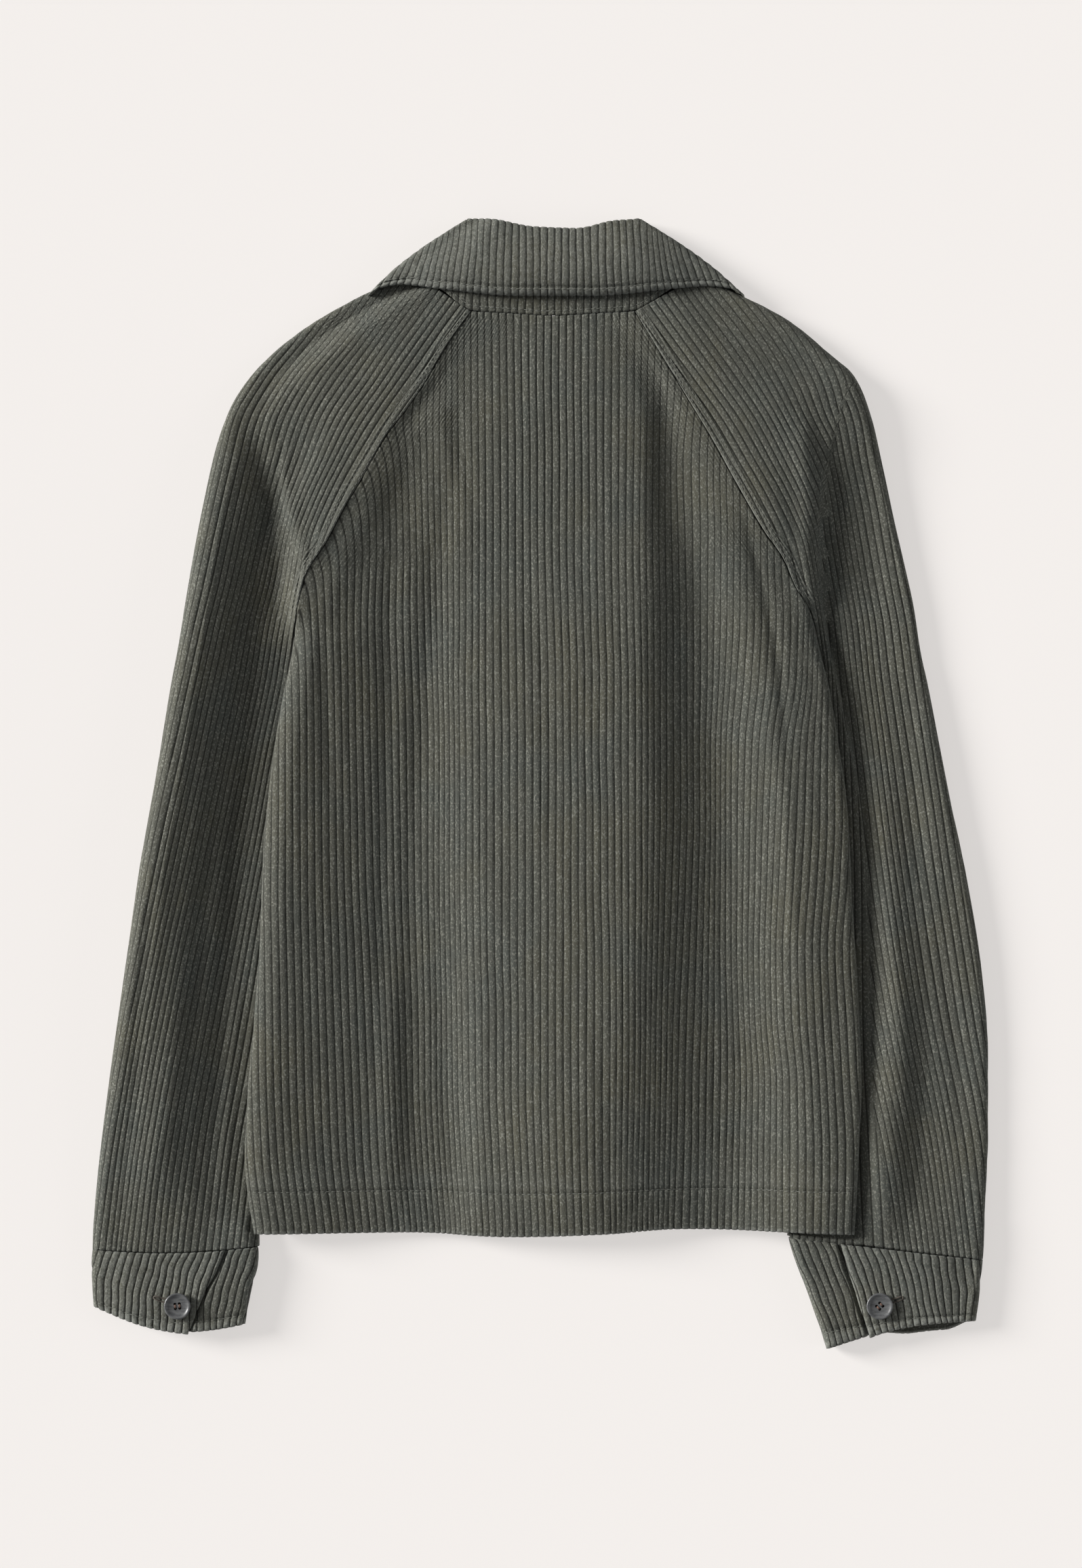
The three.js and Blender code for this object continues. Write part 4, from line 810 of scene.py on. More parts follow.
def left_sleeve_wale(x, y):
    return wale_number(x, y, LEFT_SLEEVE_WALES)


def right_sleeve_wale(x, y):
    past_fold = x > read(RIGHT_FOLD, "x", y)
    return np.where(past_fold, wale_number(x, y, RIGHT_ARM_WALES), wale_number(x, y, RIGHT_SHOULDER_WALES))


# How far each shoulder fold bulges before its line and drops past it, and how the cloth then recovers
def left_fold_drop(x, y):
    past = read(LEFT_FOLD, "x", y) - x
    drop = read(LEFT_FOLD, "drop", y)
    bulge = 0.3 * drop * np.exp(-(((past + 4) / 5) ** 2))
    return bulge - drop * ease((past + 2) / 5) * np.exp(-np.maximum(past - 3, 0) / 14)


def right_fold_drop(x, y):
    past = x - read(RIGHT_FOLD, "x", y)
    drop = read(RIGHT_FOLD, "drop", y)
    bulge = 0.35 * drop * np.exp(-(((past + 7) / 7) ** 2))
    return bulge - drop * ease((past + 1.2) / 3.2) * np.exp(-np.maximum(past - 2, 0) / 25)


# The sleeve's end swells to the height of the cuff, then turns down into it.
def end_height(share):
    return mix(13.0, 11.4, ease((share - 0.1) / 0.8))


def raglan_sleeve(name, node, table, side_table, underarm_y, wale_at, creases, fold_drop, end_bow):
    lowest = table["in_y"][-1]
    sleeve_levels = row_levels(NECK_Y, lowest, ROW_PITCH, [NECK_Y - 1.5, lowest + 1.5])
    rows = []
    strips = []
    overs = []
    widths = []
    for in_y in sleeve_levels:
        inner = np.array([read(side_table, "sleeve", in_y), in_y])
        outer = np.array([read(table, part, in_y, "in_y") for part in ("out_x", "out_y")])
        width = np.linalg.norm(outer - inner)
        across = (outer - inner) / width
        row_bow = end_bow * ease((-280 - in_y) / 30)

        def places_at(along, bowed_at):
            places = inner + along[:, None] * across
            places[:, 1] -= row_bow * np.sin(math.pi * bowed_at / width)
            return places

        over = float(below_underarm(underarm_y, in_y))
        heights = [read(table, f"h{k}", in_y, "in_y") for k in range(len(SLEEVE_ACROSS))]
        fold_round = min(OUTER_FOLD_ROUND, heights[-1] / 2)
        fold_start = width - fold_round
        along = np.linspace(0, fold_start, SLEEVE_TOP_COLUMNS)
        place = places_at(along, along)
        height = curve(SLEEVE_ACROSS, heights, along / fold_start)
        covered = read(side_table, "body", in_y) if in_y > HEM_Y else inner[0]
        clear = ease((np.abs(place[:, 0] - CENTRE_X) - abs(covered - CENTRE_X) + 1) / 9)
        swell = ease((lowest + 28 - in_y) / 24) * clear
        height = mix(height, np.maximum(height, end_height(along / fold_start)), swell)
        floor = collar_cover(place[:, 0], place[:, 1])
        middle = mix(floor[0], heights[0], 0.5)
        strip = STRIP_RAISE * (1 - over) * ease((STRIP_WIDTH + 1.2 - along) / 1.1)
        strip -= 0.35 * (1 - over) * (1 - rounded_edge(along, 1.0))
        strip -= (1 - over) * pinch(along - SEAM_STITCHES[1], 0.8, 0.5)
        upper = middle + SEAM_GAP / 2
        rounded = upper + (height - upper) * rounded_edge(along, SLEEVE_FOLD_ROUND)
        top = np.column_stack([place, mix(height + strip, rounded, over)])
        turn = np.linspace(0, math.pi, SLEEVE_FOLD_COLUMNS + 1)[1:]
        centre = mix(floor[-1], float(height[-1]), 0.5)
        fold_place = places_at(fold_start + fold_round * np.sin(turn), fold_start)
        fold = np.column_stack([fold_place, centre + (float(height[-1]) - centre) * np.cos(turn)])
        back_along = np.linspace(fold_start, 0, SLEEVE_BOTTOM_COLUMNS + 1)[1:]
        under_place = places_at(back_along, back_along)
        under_floor = collar_cover(under_place[:, 0], under_place[:, 1])
        lower = middle - SEAM_GAP / 2
        under_rounded = lower - (lower - under_floor) * rounded_edge(back_along, SLEEVE_FOLD_ROUND)
        under = np.column_stack([under_place, mix(under_floor, under_rounded, over)])
        rows.append(np.concatenate([top, fold, under]))
        on_strip = (along < STRIP_WIDTH) * (1 - over)
        strips.append(np.concatenate([on_strip, np.zeros(len(fold) + len(under))]))
        overs.append(over)
        widths.append(fold_start)
    points = np.array(rows)
    top = slice(0, SLEEVE_TOP_COLUMNS)
    x = points[:, top, 0]
    y = points[:, top, 1]
    from_inner = np.linspace(0, 1, SLEEVE_TOP_COLUMNS)[None, :] * np.array(widths)[:, None]
    from_outer = np.array(widths)[:, None] - from_inner
    soften = ease(from_inner / 9) * ease((from_outer + 4) / 8)
    added = crease_height(x, y, creases) + 0.6 * unevenness(x, y, 2.0) + fold_drop(x, y)
    points[:, top, 2] += added * soften
    level_grid = np.broadcast_to(sleeve_levels[:, None], points.shape[:2])
    side_up = np.ones(points.shape[1])
    side_up[SLEEVE_TOP_COLUMNS + SLEEVE_FOLD_COLUMNS // 2:] = -1
    points[..., 2] -= side_up * 0.7 * (1 - rounded_edge(level_grid - lowest, END_ROLL))
    points[..., 2] -= side_up * 0.3 * (1 - rounded_edge(NECK_Y - level_grid, SEAM_ROLL))
    outward = 1 if points[0, 0, 0] > CENTRE_X else -1
    wale = np.zeros(points.shape[:2])
    wale[:, top] = wale_at(x, y) + 0.12 * unevenness(2.1 * x, 0.9 * y, 7.0)
    gaps = np.linalg.norm(np.diff(points[:, SLEEVE_TOP_COLUMNS - 1:], axis=1), axis=2)
    wale[:, SLEEVE_TOP_COLUMNS:] = wale[:, top][:, -1:] + outward * np.cumsum(gaps, axis=1) / WALE_PITCH
    strip_grid = np.array(strips)
    wear = 0.14 * strip_grid + 0.2 * np.exp(-(((level_grid - lowest) / END_ROLL) ** 2))
    wear[:, 0:2] = np.maximum(wear[:, 0:2], 0.5 * (1 - np.array(overs))[:, None])
    pile = 1 - 0.15 * strip_grid
    inwards = surface_normals(points, outward)[-4]
    tucked = [points[-1] - inwards * sunk - np.array([0, down, 0]) for sunk, down in TUCK]
    points = np.concatenate([points, np.array(tucked)])
    wale, pile, wear = [np.pad(grid, ((0, len(TUCK)), (0, 0)), mode="edge") for grid in (wale, pile, wear)]
    thick = np.full(wale.shape, CLOTH)
    thick[-len(TUCK):] = TUCK_CLOTH
    piece, surface = cloth_piece(name, points, outward, wale, pile, wear, thick)
    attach(piece, "root")
    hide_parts(node)
    seam_rows = []
    shown = np.flatnonzero(np.array(overs) < 0.5)
    for inset in SEAM_STITCHES:
        column = int(round(inset / widths[SEAM_STITCH_ROW] * (SLEEVE_TOP_COLUMNS - 1)))
        seam_rows.append(points[shown][:, column, :2][2:])
    stitching = stitch_rows(f"{name}_raglan_stitching", seam_rows, surface, 1)


raglan_sleeve(
    "sleeve_panel_left", "sleeve_left", LEFT_SLEEVE, LEFT_SIDE, UNDERARM_LEFT, left_sleeve_wale,
    LEFT_SLEEVE_CREASES, left_fold_drop, 3,
)
raglan_sleeve(
    "sleeve_panel_right", "sleeve_right", RIGHT_SLEEVE, RIGHT_SIDE, UNDERARM_RIGHT, right_sleeve_wale,
    RIGHT_SLEEVE_CREASES, right_fold_drop, 0,
)

# The cuffs: a doubled band of corduroy sewn to each sleeve end. It starts under its own buttoned end, goes
# round the wrist and laps over itself, with topstitching along the mouth.
CUFF_HIGH = 50
CUFF_CLOTH = 3.4
CUFF_UNDER_TOP = 10.5
CUFF_TOP = CUFF_UNDER_TOP + CUFF_CLOTH + 0.4
CUFF_ROUND = 5
CUFF_DROOP = 3
CUFF_UNDER_RISE = 2.6
CUFF_MOUTH_STITCH = 4.6
# How many points a row has on the lapped-under end, each side fold, the underside and the top
CUFF_UNDER, CUFF_FOLD, CUFF_BOTTOM, CUFF_TOP_COUNT = 51, 11, 70, 103
# down is the share of the way from the seam to the mouth.
LEFT_CUFF = {
    "down": [0, 0.3333, 0.6667, 1],
    "in_x": [-191.3, -191.8, -196, -200.5],
    "in_y": [-313.3, -325, -342, -366],
    "out_x": [-304.5, -305.3, -304.8, -304],
    "out_y": [-315.3, -327, -340, -354],
    "lap": [0.2, 0.24, 0.3, 0.37],
    "bow": [3, 4, 6, 10.5],
    "gape": 0,
    "lap_edge_paleness": 0.15,
}
RIGHT_CUFF = {
    "down": [0, 0.3333, 0.6667, 1],
    "in_x": [168, 172.5, 182, 194.5],
    "in_y": [-307.2, -321, -346, -383],
    "out_x": [301, 300, 298.5, 296.5],
    "out_y": [-322.5, -334, -348, -364],
    "lap": [0.27, 0.27, 0.28, 0.28],
    "bow": [0, 0, 0, -5],
    "gape": 6,
    "lap_edge_paleness": 0.5,
}


def buttoned_cuff(name, node, table, wales, fan, hole):
    mouth_stitch = CUFF_HIGH - CUFF_MOUTH_STITCH
    down_shares = row_levels(0, CUFF_HIGH, 1.5, [0.8, mouth_stitch, 49.2]) / CUFF_HIGH
    fold = np.linspace(0, math.pi, CUFF_FOLD)
    bottom_start = CUFF_UNDER + CUFF_FOLD
    second_fold = bottom_start + CUFF_BOTTOM
    lower = np.zeros(second_fold + CUFF_FOLD + CUFF_TOP_COUNT)
    lower[bottom_start:second_fold] = 1
    rows = []
    kinds = []
    for down in down_shares:
        inner = np.array([read(table, part, down, "down") for part in ("in_x", "in_y")])
        outer = np.array([read(table, part, down, "down") for part in ("out_x", "out_y")])
        across = outer - inner
        lap = float(read(table, "lap", down, "down"))
        bow = float(read(table, "bow", down, "down"))
        round_share = CUFF_ROUND / np.linalg.norm(across)
        under = np.linspace(lap + 0.16, round_share, CUFF_UNDER + 1)[:-1]
        bottom = np.linspace(round_share, 1 - round_share, CUFF_BOTTOM + 2)[1:-1]
        top = np.linspace(1 - round_share, lap, CUFF_TOP_COUNT + 1)[1:]
        shares = np.concatenate([
            under, -round_share * (np.sin(fold) - 1), bottom, 1 + round_share * (np.sin(fold) - 1), top,
        ])
        heights = np.concatenate([
            CUFF_UNDER_TOP + CUFF_UNDER_RISE * ease((lap - 0.006 - under) / 0.02),
            (CUFF_UNDER_TOP + CUFF_UNDER_RISE) * (1 + np.cos(fold)) / 2, np.zeros(CUFF_BOTTOM),
            (CUFF_TOP - CUFF_DROOP) * (1 - np.cos(fold)) / 2,
            CUFF_TOP - CUFF_DROOP * ease((top - 0.7) / (0.3 - round_share)),
        ])
        sag = bow * np.sin(math.pi * np.clip(shares, 0, 1))
        sag[-CUFF_TOP_COUNT:] += 1.6 * down ** 3 * np.exp(-(top - lap) * 9)
        opened = ease((shares - 0.28) / 0.3) * ease((0.995 - shares) / 0.2)
        sag = sag + table["gape"] * lower * opened * down ** 2
        x = inner[0] + across[0] * shares
        y = inner[1] + across[1] * shares - sag
        rows.append(np.stack([x, y, heights], axis=1))
        kinds.append(shares)
    points = np.array(rows)
    shares = np.array(kinds)
    down = np.broadcast_to(down_shares[:, None], shares.shape)
    upper = np.ones(shares.shape[1])
    upper[CUFF_UNDER + CUFF_FOLD // 2: second_fold + CUFF_FOLD // 2] = -1
    on_top = np.zeros(shares.shape[1])
    on_top[-CUFF_TOP_COUNT:] = 1
    from_seam = down * CUFF_HIGH
    from_mouth = (1 - down) * CUFF_HIGH
    press = 0.8 * (1 - rounded_edge(from_seam, 1.8)) + 1.2 * (1 - rounded_edge(from_mouth, 2.4))
    press += pinch(from_mouth - CUFF_MOUTH_STITCH, 0.9, 1.1)
    from_lap = np.linspace(CUFF_TOP_COUNT, 0, CUFF_TOP_COUNT)[None, :] * 0.75
    edge_roll = np.zeros_like(shares)
    lap_roll = 1.2 * (1 - rounded_edge(from_lap, 2.4)) + 0.3 * ease((4 - from_lap) / 4)
    edge_roll[:, -CUFF_TOP_COUNT:] = lap_roll
    points[..., 2] -= upper * press + edge_roll
    x, y = points[..., 0], points[..., 1]
    points[..., 2] += 1.1 * unevenness(x * 1.5, y * 1.6, 3.0) * on_top * ease(from_seam / 8)
    wale = wales * (shares - fan * np.sin(math.pi * down / 1.6))
    wale += 0.3 * unevenness(x * 2.1, y * 3.4, 5.0) * ease(down / 0.2)
    wale += 0.16 * unevenness(x * 5.3, y * 6.1, 9.0) * ease(down / 0.2)
    wear = 0.55 * ease((5.2 - from_mouth) / 4) + 0.12 * unevenness(x, y * 2, 6.0)
    # The whole cuff, and its top layer more, is painted paler as light falling on it, which leaves the
    # lapped-under end darker as painted shade of the lap; the pale mouth edge is rubbing.
    wear = np.clip(wear + 0.22 * on_top + 0.06, 0, 1)
    # The lapped edge is drawn paler, more on the right cuff than on the left.
    wear[:, -4:] = np.maximum(wear[:, -4:], table["lap_edge_paleness"])
    facing = 1 if points[0, 0, 0] < CENTRE_X else -1
    piece, surface = cloth_piece(name, points, facing, wale, 1.2, wear, CUFF_CLOTH, (3, 6))
    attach(piece, "root")
    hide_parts(node)
    stitched = points[int(np.argmin(np.abs(from_seam[:, 0] - mouth_stitch))), :, :2]
    sewn_rows = [stitched[second_fold + 9:], stitched[18:CUFF_UNDER + 4]]
    stitching = stitch_rows(f"{name}_stitching", sewn_rows, surface, 1)
    buttonhole(f"{name}_buttonhole", hole, surface)


# A buttonhole: a slit in the cuff's upper end, closely overcast with thread in two raised lips
def buttonhole(name, ends, surface):
    (ax, ay), (bx, by) = ends
    length = math.dist(*ends)
    along = Vector(((bx - ax) / length, (by - ay) / length, 0))
    side = Vector((-along.y, along.x, 0))
    corners = []
    turns = 64
    sides = 8
    half_wide = 1.15
    for k in range(turns):
        turn = math.tau * k / turns
        run = length / 2 * math.copysign(abs(math.cos(turn)) ** 0.45, math.cos(turn))
        aside = half_wide * math.copysign(abs(math.sin(turn)) ** 0.6, math.sin(turn))
        middle = Vector(((ax + bx) / 2, (ay + by) / 2, 0)) + along * run + side * aside
        hit = surface.ray_cast(Vector((middle.x, middle.y, ABOVE_ALL)), Vector((0, 0, -1)))
        height = hit[0].z + 0.25 if hit[0] is not None else CUFF_TOP
        outward = (along * run * 0.1 + side * aside).normalized()
        thick = 0.62 + 0.14 * (k % 2)
        for m in range(sides):
            angle = math.tau * m / sides
            corners.append(Vector((
                middle.x + outward.x * thick * math.cos(angle),
                middle.y + outward.y * thick * math.cos(angle),
                height + thick * math.sin(angle),
            )) * MM)
    faces = []
    for k in range(turns):
        this = k * sides
        following = (k + 1) % turns * sides
        for m in range(sides):
            beside = (m + 1) % sides
            faces.append((this + m, this + beside, following + beside, following + m))
    piece = add_piece(name, corners, faces, buttonhole_thread)
    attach(piece, "root")


buttonhole_thread = thread_material("buttonhole_thread", (0.040, 0.034, 0.026))
buttoned_cuff("cuff_band_left", "cuff_left", LEFT_CUFF, 21.8, 0.055, ((-262, -347.2), (-243, -353.2)))
buttoned_cuff("cuff_band_right", "cuff_right", RIGHT_CUFF, 23.5, 0.03, ((246, -347.4), (228, -353.5)))

# The collar: a stand sewn to the neck seam and a pointed leaf turned down over it, both doubled corduroy
# that goes right round the neck. Laid flat, they crease at each side; the leaf's edge is topstitched.
COLLAR_CLOTH = 1.85
COLLAR_DEEP = 55
# across runs from -1 at the left side crease to 1 at the right one. The fold is the collar's upper line,
# the edge its lower one. Only the left half of the front is given: the right one mirrors it.
LEAF_BACK = {
    "across": [-1, -0.9, -0.78, -0.6, -0.2, 0.2, 0.6, 0.78, 0.9, 1],
    "fold_x": [-51, -47, -41, -33, -4, 24, 50, 59, 65, 69],
    "fold_y": [384, 384, 383.8, 383, 377.5, 376.5, 382, 383, 383.6, 384],
    "edge_x": [-117, -108, -94, -68, -14, 36, 90, 113, 130, 139],
    "edge_y": [332.8, 337.6, 339.6, 336.2, 331.5, 331.5, 336.5, 338.4, 336.6, 331],
}
LEAF_FRONT = {
    "across": [-1, -0.5, 0],
    "fold_x": [-51, -32, 5],
    "fold_y": [384, 358, 336],
    "edge_x": [-117, -92, -52],
    "edge_y": [332.8, 298, 263],
}
STAND_BACK = {
    "across": [-1, -0.8, -0.6, -0.3, 0, 0.3, 0.6, 0.8, 1],
    "fold_x": [-44, -36, -28, -11, 9, 28, 45, 53, 62],
    "fold_y": [376, 376, 375, 372, 369.5, 372, 375, 376, 376],
    "edge_x": [-84.4, -65.4, -46.6, -19, 9, 37, 63.6, 86, 108.4],
    "edge_y": [347.9, 335.2, 322.1, 320.2, 318.7, 320.2, 322.1, 335.2, 347.9],
}
STAND_FRONT = {
    "across": [-1, -0.75, -0.5, 0],
    "fold_x": [-44, -29, -20, 8],
    "fold_y": [376, 360, 347.5, 329.5],
    "edge_x": [-84.4, -65.4, -46.6, 8],
    "edge_y": [347.9, 335.2, 322.4, 303],
}
COLLAR_WALES = {
    "y": [388, 372, 350, 328],
    "paths": {
        -25.2: [-98, -108, -122, -137],
        -21.8: [-83, -89, -101, -112],
        -17.6: [-73, -76, -83, -90],
        -12.5: [-56, -57, -60, -63],
        -7.6: [-36, -36.5, -37.5, -38.5],
        0: [0, 0, 0, 0],
        4.05: [20, 20, 20, 20],
        14.9: [72, 72.5, 73.5, 75],
        20.7: [88, 92, 98, 105],
        25.6: [104, 111, 121, 131],
        29.6: [118, 127, 140, 153],
    },
}


# level says how high the ring's layers lie and how they swell, press how deep its edge and stitching are.
def collar_ring(name, node, back_table, front_table, level, fold_drop, share, press):
    even = 0.93
    near = np.concatenate([
        np.linspace(0, even, 112), even + 0.07 * np.sin(np.linspace(0, math.pi / 2, 13)[1:]),
    ])
    stations = [(-a, True) for a in near]
    stations += [(-a, False) for a in near[::-1][1:]]
    stations += [(a, False) for a in near[1:]]
    stations += [(a, True) for a in near[::-1][1:]]
    half = len(stations) // 2
    lines = []
    for index, (across, is_front) in enumerate(stations):
        on_right = index > half
        spot = {}
        for part in ("fold_x", "fold_y", "edge_x", "edge_y"):
            is_x = part.endswith("x")
            if not is_front:
                spot[part] = float(read(back_table, part, across, "across"))
                continue
            value = float(read(front_table, part, -abs(across), "across"))
            crease = back_table[part][-1 if on_right else 0]
            plain = front_table[part][0]
            if is_x and on_right:
                value = 2 * CENTRE_X - value
                plain = 2 * CENTRE_X - plain
            spot[part] = value + (crease - plain) * min(1, max(0, 2 * abs(across) - 1))
        full = (1 - abs(across) ** 10) ** 0.1
        x = mix(spot["edge_x"], spot["fold_x"], share)
        y = mix(spot["edge_y"], spot["fold_y"], share)
        top = mix(level["top"], level["fold_top"], share) - level["sink"] * ease((abs(across) - 0.5) / 0.35)
        top += 0.5 * level["sink"] * ease((across - 0.5) / 0.35)
        middle = mix(level["bottom"], top, 0.5)
        dome = level["dome"] * (1 - across * across) * (0.1 + 0.9 * np.sin(math.pi * np.sqrt(share) ** 1.3))
        if is_front:
            z = middle - (middle - level["bottom"]) * full
        else:
            z = middle + (top + dome - middle) * full
        swell = np.sin(math.pi * share ** 0.8) * abs(across) ** 5
        x = x + math.copysign(level["swell"], across) * 0.62 * swell
        y = y + level["swell"] * 0.78 * swell
        to_fold = (spot["fold_x"] - spot["edge_x"], spot["fold_y"] - spot["edge_y"])
        reach = math.dist((spot["edge_x"], spot["edge_y"]), (spot["fold_x"], spot["fold_y"]))
        side = -1 if is_front else 1
        from_edge = share * reach
        z = z - side * full * press["lower"] * (1 - rounded_edge(from_edge, press["roll"]))
        z = z - side * full * pinch(from_edge - press["stitch"], 1.1, press["depth"])
        line = np.stack([x, y, z], axis=1)
        if fold_drop > 0:
            turn = np.linspace(0, math.pi / 2, 7)[1:]
            drop = (-0.3 if is_front else 1) * fold_drop * full * (1 - np.cos(turn))
            push = 0.7 * fold_drop * np.sin(turn)
            turned_x = x[-1] + to_fold[0] / reach * push
            turned_y = y[-1] + to_fold[1] / reach * push
            line = np.concatenate([line, np.stack([turned_x, turned_y, z[-1] - drop], axis=1)])
        lines.append(line)
    points = np.array(lines)
    x, y = points[..., 0], points[..., 1]
    front = np.array([is_front for _, is_front in stations])[:, None]
    turned = np.abs(np.array([across for across, _ in stations]))[:, None]
    uneven = 0.45 * unevenness(1.7 * x, 1.9 * y, 2.5) * ease((0.97 - turned) / 0.1)
    points[..., 2] += np.where(front, 0, uneven)
    gaps = np.linalg.norm(np.diff(points[:, 4], axis=0), axis=1)
    run = np.concatenate([[0], np.cumsum(gaps)])[:, None]
    wale = wale_number(x, y, COLLAR_WALES)
    first = len(near) - 1
    last = len(stations) - len(near)
    place = np.arange(len(stations))[:, None]
    for crease, past in ((first, place < first), (last, place > last)):
        wale = np.where(front & past, wale[crease] + (run - run[crease]) / WALE_PITCH, wale)
    wale = wale + 0.16 * unevenness(x * 3.0, y * 2.0, 6.0) + 0.09 * unevenness(x * 5.1, y * 5.7, 3.0)
    from_edge = np.pad(share, (0, points.shape[1] - len(share)), constant_values=1)[None, :] * COLLAR_DEEP
    edge_wear = ease((press["stitch"] + 1.2 - from_edge) / 4.5) * np.ones_like(x)
    wear = 0.62 * press["worn"] + press["worn"] * edge_wear
    piece, surface = cloth_piece(name, points, 1, wale, 1.0, wear, COLLAR_CLOTH, (7, 4))
    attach(piece, "root")
    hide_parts(node)
    stitched = int(np.argmin(np.abs(from_edge[0] - press["stitch"])))
    path = points[first + 10:last - 9, stitched, :2]
    return piece, surface, path


stand_shares = np.linspace(0, 1, 34)
collar_stand, stand_surface, stand_path = collar_ring(
    "collar_stand_band", "collar_stand", STAND_BACK, STAND_FRONT,
    {"top": 14, "fold_top": 14, "bottom": COLLAR_ROOM, "dome": 0, "swell": 0, "sink": 0},
    0, stand_shares, {"roll": SEAM_ROLL, "lower": 0.4, "stitch": 3.2, "depth": 0.4, "worn": 0.0},
)
stand_stitching = stitch_rows("neck_seam_stitching", [stand_path], stand_surface, 1)
leaf_shares = np.concatenate([np.linspace(0, 0.16, 11), np.linspace(0.16, 1, 30)[1:]])
collar_leaf, leaf_surface, leaf_path = collar_ring(
    "collar_leaf_fold", "collar_leaf", LEAF_BACK, LEAF_FRONT,
    {"top": 17.2, "fold_top": 17, "bottom": 0, "dome": 7.4, "swell": 3.6, "sink": 4.2},
    2.2, leaf_shares, {"roll": 2.8, "lower": 1.2, "stitch": 5.6, "depth": 0.9, "worn": 0.42},
)
leaf_stitching = stitch_rows("collar_topstitching", [leaf_path], leaf_surface, 1)

# Seven dark grey polished horn buttons, 18 mm across, dished with a raised rim and four sewn holes: one on
# each cuff and five down the front, on the side that lies underneath.
BUTTON_SIDES = 72
HOLE_RADIUS = 1.05
HOLE_OFFSET = 1.5
HOLES = [(across, along) for across in (-HOLE_OFFSET, HOLE_OFFSET) for along in (-HOLE_OFFSET, HOLE_OFFSET)]
PLUG_RADIUS = 1.0
STRAND_RADIUS = 0.26


def horn_material():
    nodes = Nodes("polished_horn")
    turned = nodes.noise(5, 3.0, stretch=(1, 3.5, 1))
    speck = nodes.noise(0.5, 2.0)
    grain = nodes.blend(nodes.step(turned, 0.3, 0.7), (0.064, 0.066, 0.069, 1), (0.120, 0.123, 0.124, 1))
    colour = nodes.blend(nodes.step(speck, 0.55, 0.75, 0.0, 0.35), grain, (0.045, 0.045, 0.048, 1))
    nodes.set(nodes.shader, "Base Color", colour)
    nodes.set(nodes.shader, "Roughness", nodes.step(speck, 0.3, 0.7, 0.26, 0.42))
    nodes.set(nodes.shader, "Specular IOR Level", 0.55)
    nodes.set(nodes.shader, "Normal", nodes.bump(turned, 0.08, 0.3))
    return nodes.material


horn = horn_material()
sewing = thread_material("button_thread", (0.100, 0.052, 0.036))
# Near-black thread that paints the shade down in the buttons' holes
hole_shade_thread = thread_material("painted_hole_shade_thread", (0.008, 0.007, 0.006))
# The button's section from the middle of its underside round to the middle of its dish: radius and height
BUTTON_PROFILE = [
    (0.0, 0.0), (5.6, 0.0), (7.6, 0.25), (8.6, 0.9), (8.95, 1.5), (9.0, 2.0), (8.9, 2.5), (8.6, 2.86),
    (8.2, 2.98), (7.7, 2.84), (7.1, 2.4), (6.4, 2.05), (5.4, 1.82), (3.6, 1.62), (0.0, 1.55),
]


def add_cylinder(mesh, radius, sides, depth):
    return bmesh.ops.create_cone(
        mesh, cap_ends=True, segments=sides, radius1=radius, radius2=radius, depth=depth
    )["verts"]


def button_blank():
    corners = []
    faces = []
    for radius, up in BUTTON_PROFILE[1:-1]:
        for k in range(BUTTON_SIDES):
            angle = math.tau * k / BUTTON_SIDES
            corners.append((radius * math.cos(angle), radius * math.sin(angle), up))
    last_ring = len(corners) - BUTTON_SIDES
    for ring in range(0, last_ring, BUTTON_SIDES):
        for k in range(BUTTON_SIDES):
            a = ring + k
            b = ring + (k + 1) % BUTTON_SIDES
            faces.append((a, b, b + BUTTON_SIDES, a + BUTTON_SIDES))
    corners.append((0, 0, BUTTON_PROFILE[0][1]))
    corners.append((0, 0, BUTTON_PROFILE[-1][1]))
    for k in range(BUTTON_SIDES):
        following = (k + 1) % BUTTON_SIDES
        faces.append((following, k, len(corners) - 2))
        faces.append((last_ring + k, last_ring + following, len(corners) - 1))
    return add_piece("button_blank", corners, faces, horn)


def drilled_button():
    blank = button_blank()
    drills = bmesh.new()
    for across, along in HOLES:
        drill = add_cylinder(drills, HOLE_RADIUS, 20, 8)
        bmesh.ops.translate(drills, verts=drill, vec=(across, along, 1.5))
    drill_mesh = bpy.data.meshes.new("drills")
    drills.to_mesh(drill_mesh)
    drills.free()
    drill_object = add_object("drills", drill_mesh)
    cut = blank.modifiers.new("holes", "BOOLEAN")
    cut.operation = "DIFFERENCE"
    cut.solver = "EXACT"
    cut.object = drill_object
    bpy.context.view_layer.update()
    shaped = bpy.data.meshes.new_from_object(blank.evaluated_get(bpy.context.evaluated_depsgraph_get()))
    bpy.data.objects.remove(drill_object)
    bpy.data.objects.remove(blank)
    shaped.materials.clear()
    shaped.materials.append(horn)
    return shaped


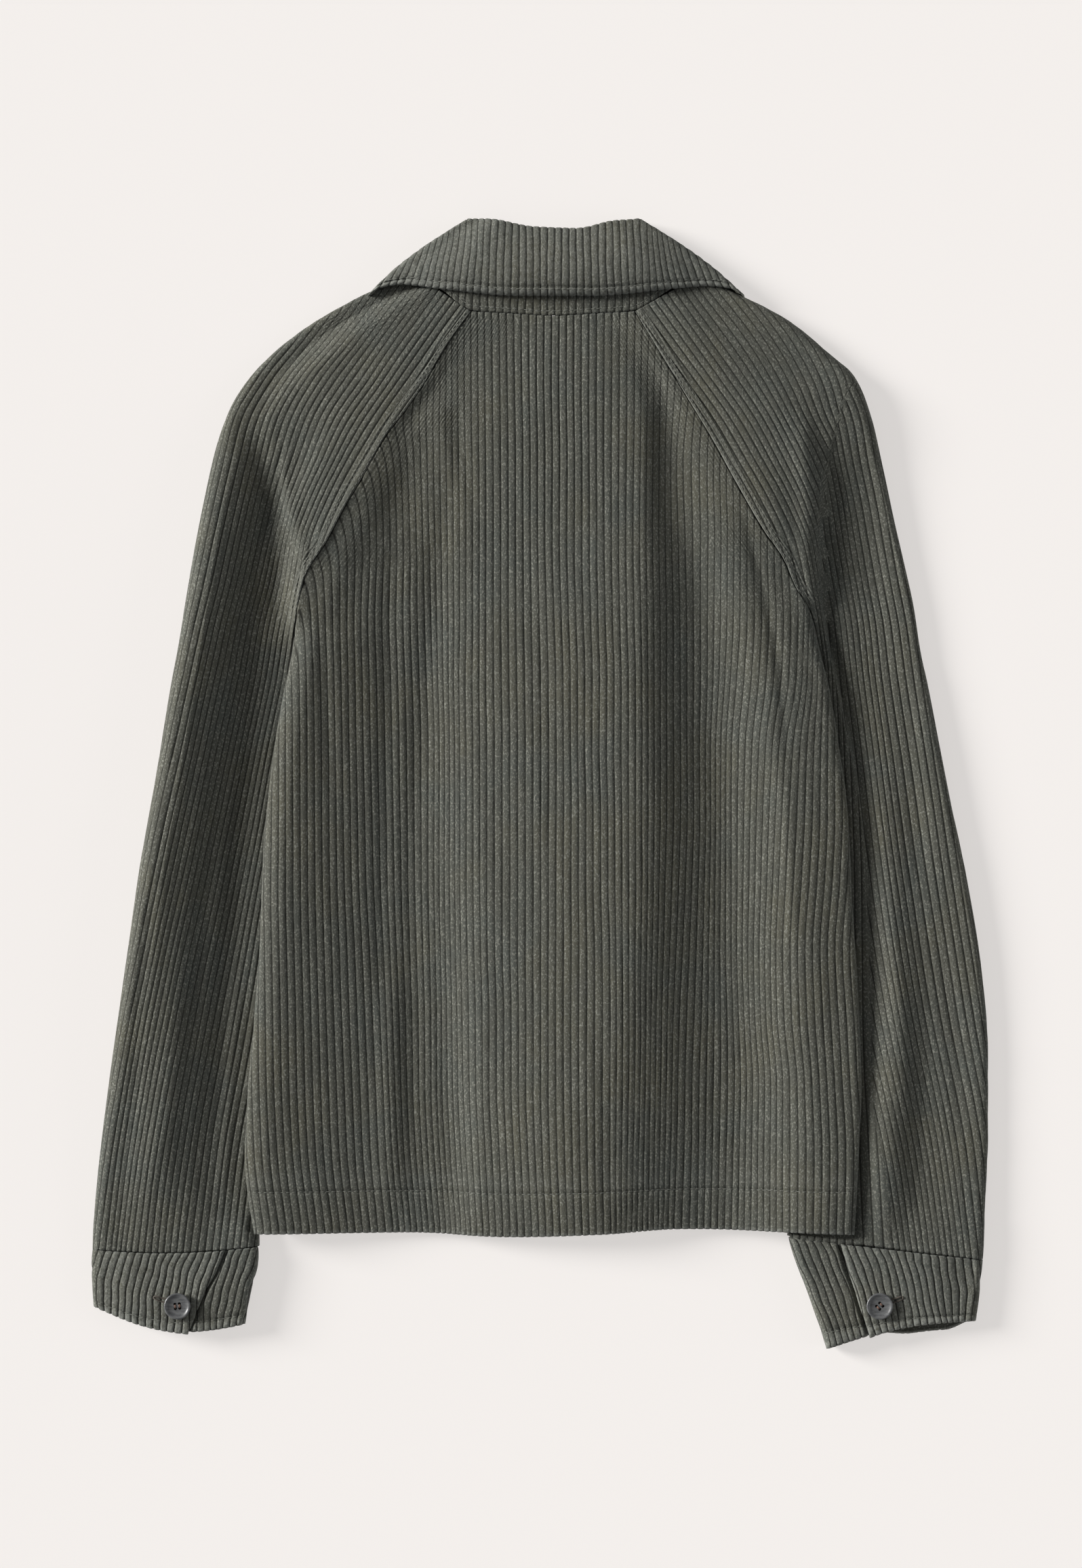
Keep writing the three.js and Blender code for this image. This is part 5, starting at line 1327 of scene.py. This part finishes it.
# Two pairs of strands over the middle, and a plug of thread down in each hole, painted near-black as the
# shade there
def button_thread(name):
    strands = bmesh.new()
    for across in (-HOLE_OFFSET, HOLE_OFFSET):
        for strand in (-0.28, 0.28):
            made = add_cylinder(strands, STRAND_RADIUS, 8, 2 * HOLE_OFFSET - 0.7)
            bmesh.ops.rotate(strands, verts=made, cent=(0, 0, 0),
                             matrix=Vector((0, 1, 0)).to_track_quat("Z", "Y").to_matrix())
            bmesh.ops.translate(strands, verts=made, vec=(across + strand, 0, 1.75))
    for across, along in HOLES:
        made = add_cylinder(strands, PLUG_RADIUS, 10, 0.8)
        bmesh.ops.translate(strands, verts=made, vec=(across, along, 0.2))
        for vertex in made:
            for face in vertex.link_faces:
                face.material_index = 1
    mesh = bpy.data.meshes.new(name)
    strands.to_mesh(mesh)
    strands.free()
    mesh.materials.append(sewing)
    mesh.materials.append(hole_shade_thread)
    return mesh


def sewn_button(node, x, y, z, turn, face_down):
    spin = np.array([[math.cos(turn), -math.sin(turn), 0], [math.sin(turn), math.cos(turn), 0], [0, 0, 1]])
    if face_down:
        spin = spin @ np.diag([1, -1, -1])
    middle = np.array([x, y, z + (BUTTON_THICK if face_down else 0)])

    def put(name, mesh):
        places = np.empty(len(mesh.vertices) * 3)
        mesh.vertices.foreach_get("co", places)
        mesh.vertices.foreach_set("co", ((places.reshape(-1, 3) @ spin.T + middle) * MM).ravel())
        mesh.update()
        mesh.shade_smooth()
        mesh.name = name
        return add_object(name, mesh)

    piece = put(f"{node}_horn", drilled_button())
    piece.data.set_sharp_from_angle(angle=math.radians(38))
    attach(piece, "root")
    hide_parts(node)
    sewn = put(f"{node}_thread", button_thread(f"{node}_thread"))
    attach(sewn, "root")


sewn_button("cuff_button_left", -246, -353, CUFF_TOP + SEAM_GAP, 0.1, False)
sewn_button("cuff_button_right", 230, -353, CUFF_TOP + SEAM_GAP, math.pi / 4, False)
for k in range(5):
    sewn_button(f"front_button_{k + 1}", CENTRE_X, BUTTON_TOP_Y - k * BUTTON_PITCH, 0, 0, True)


# The pale surface that the jacket lies on, glowing a little as painted light so that its shadows stay
# light, the soft daylight from the upper left, the weaker light from the right, and the camera straight
# above.
def glowing_pale_surface():
    nodes = Nodes("glowing_pale_surface")
    nodes.set(nodes.shader, "Base Color", (0.330, 0.318, 0.309, 1))
    nodes.set(nodes.shader, "Roughness", 0.85)
    nodes.set(nodes.shader, "Specular IOR Level", 0.0)
    # Its glow is painted light that keeps the shadows falling on it pale.
    nodes.set(nodes.shader, "Emission Color", (0.905, 0.871, 0.847, 1))
    nodes.set(nodes.shader, "Emission Strength", 0.650)
    return nodes.material


# In metres: half its side, and its place a hair below the ribs that the jacket rests on
FLOOR_REACH = 6.0
FLOOR_LEVEL = -0.0001
floor_corners = [
    (a * FLOOR_REACH, b * FLOOR_REACH, FLOOR_LEVEL) for a, b in ((-1, -1), (1, -1), (1, 1), (-1, 1))
]
floor = add_piece("floor", floor_corners, [(0, 1, 2, 3)], glowing_pale_surface())


def soft_light(name, towards, strength, spread, colour):
    lamp = bpy.data.lights.new(name, "SUN")
    lamp.energy = strength
    lamp.angle = math.radians(spread)
    lamp.color = colour
    holder = add_object(name, lamp)
    holder.rotation_euler = Vector(towards).to_track_quat("-Z", "Y").to_euler()


soft_light("daylight", (0.90, -0.30, -0.335), 6.2, 20, (1.0, 0.985, 0.965))
soft_light("fill", (-0.96, 0.05, -0.26), 0.6, 40, (0.97, 0.985, 1.0))
world = bpy.data.worlds.new("room")
world.use_nodes = True
surroundings = world.node_tree.nodes["Background"]
surroundings.inputs["Color"].default_value = (0.99, 0.99, 1.0, 1)
surroundings.inputs["Strength"].default_value = 0.25
scene = bpy.context.scene
scene.world = world
scene.view_settings.view_transform = "Standard"
scene.view_settings.look = "None"
scene.view_settings.exposure = 0.0

lens = bpy.data.cameras.new("camera")
lens.type = "PERSP"
lens.sensor_fit = "VERTICAL"
lens.sensor_height = 36
lens.lens = 100
lens.clip_end = 20
camera = add_object("camera", lens)
camera.location = (0.00046, 0.00092, 2.968)
bpy.context.scene.camera = camera
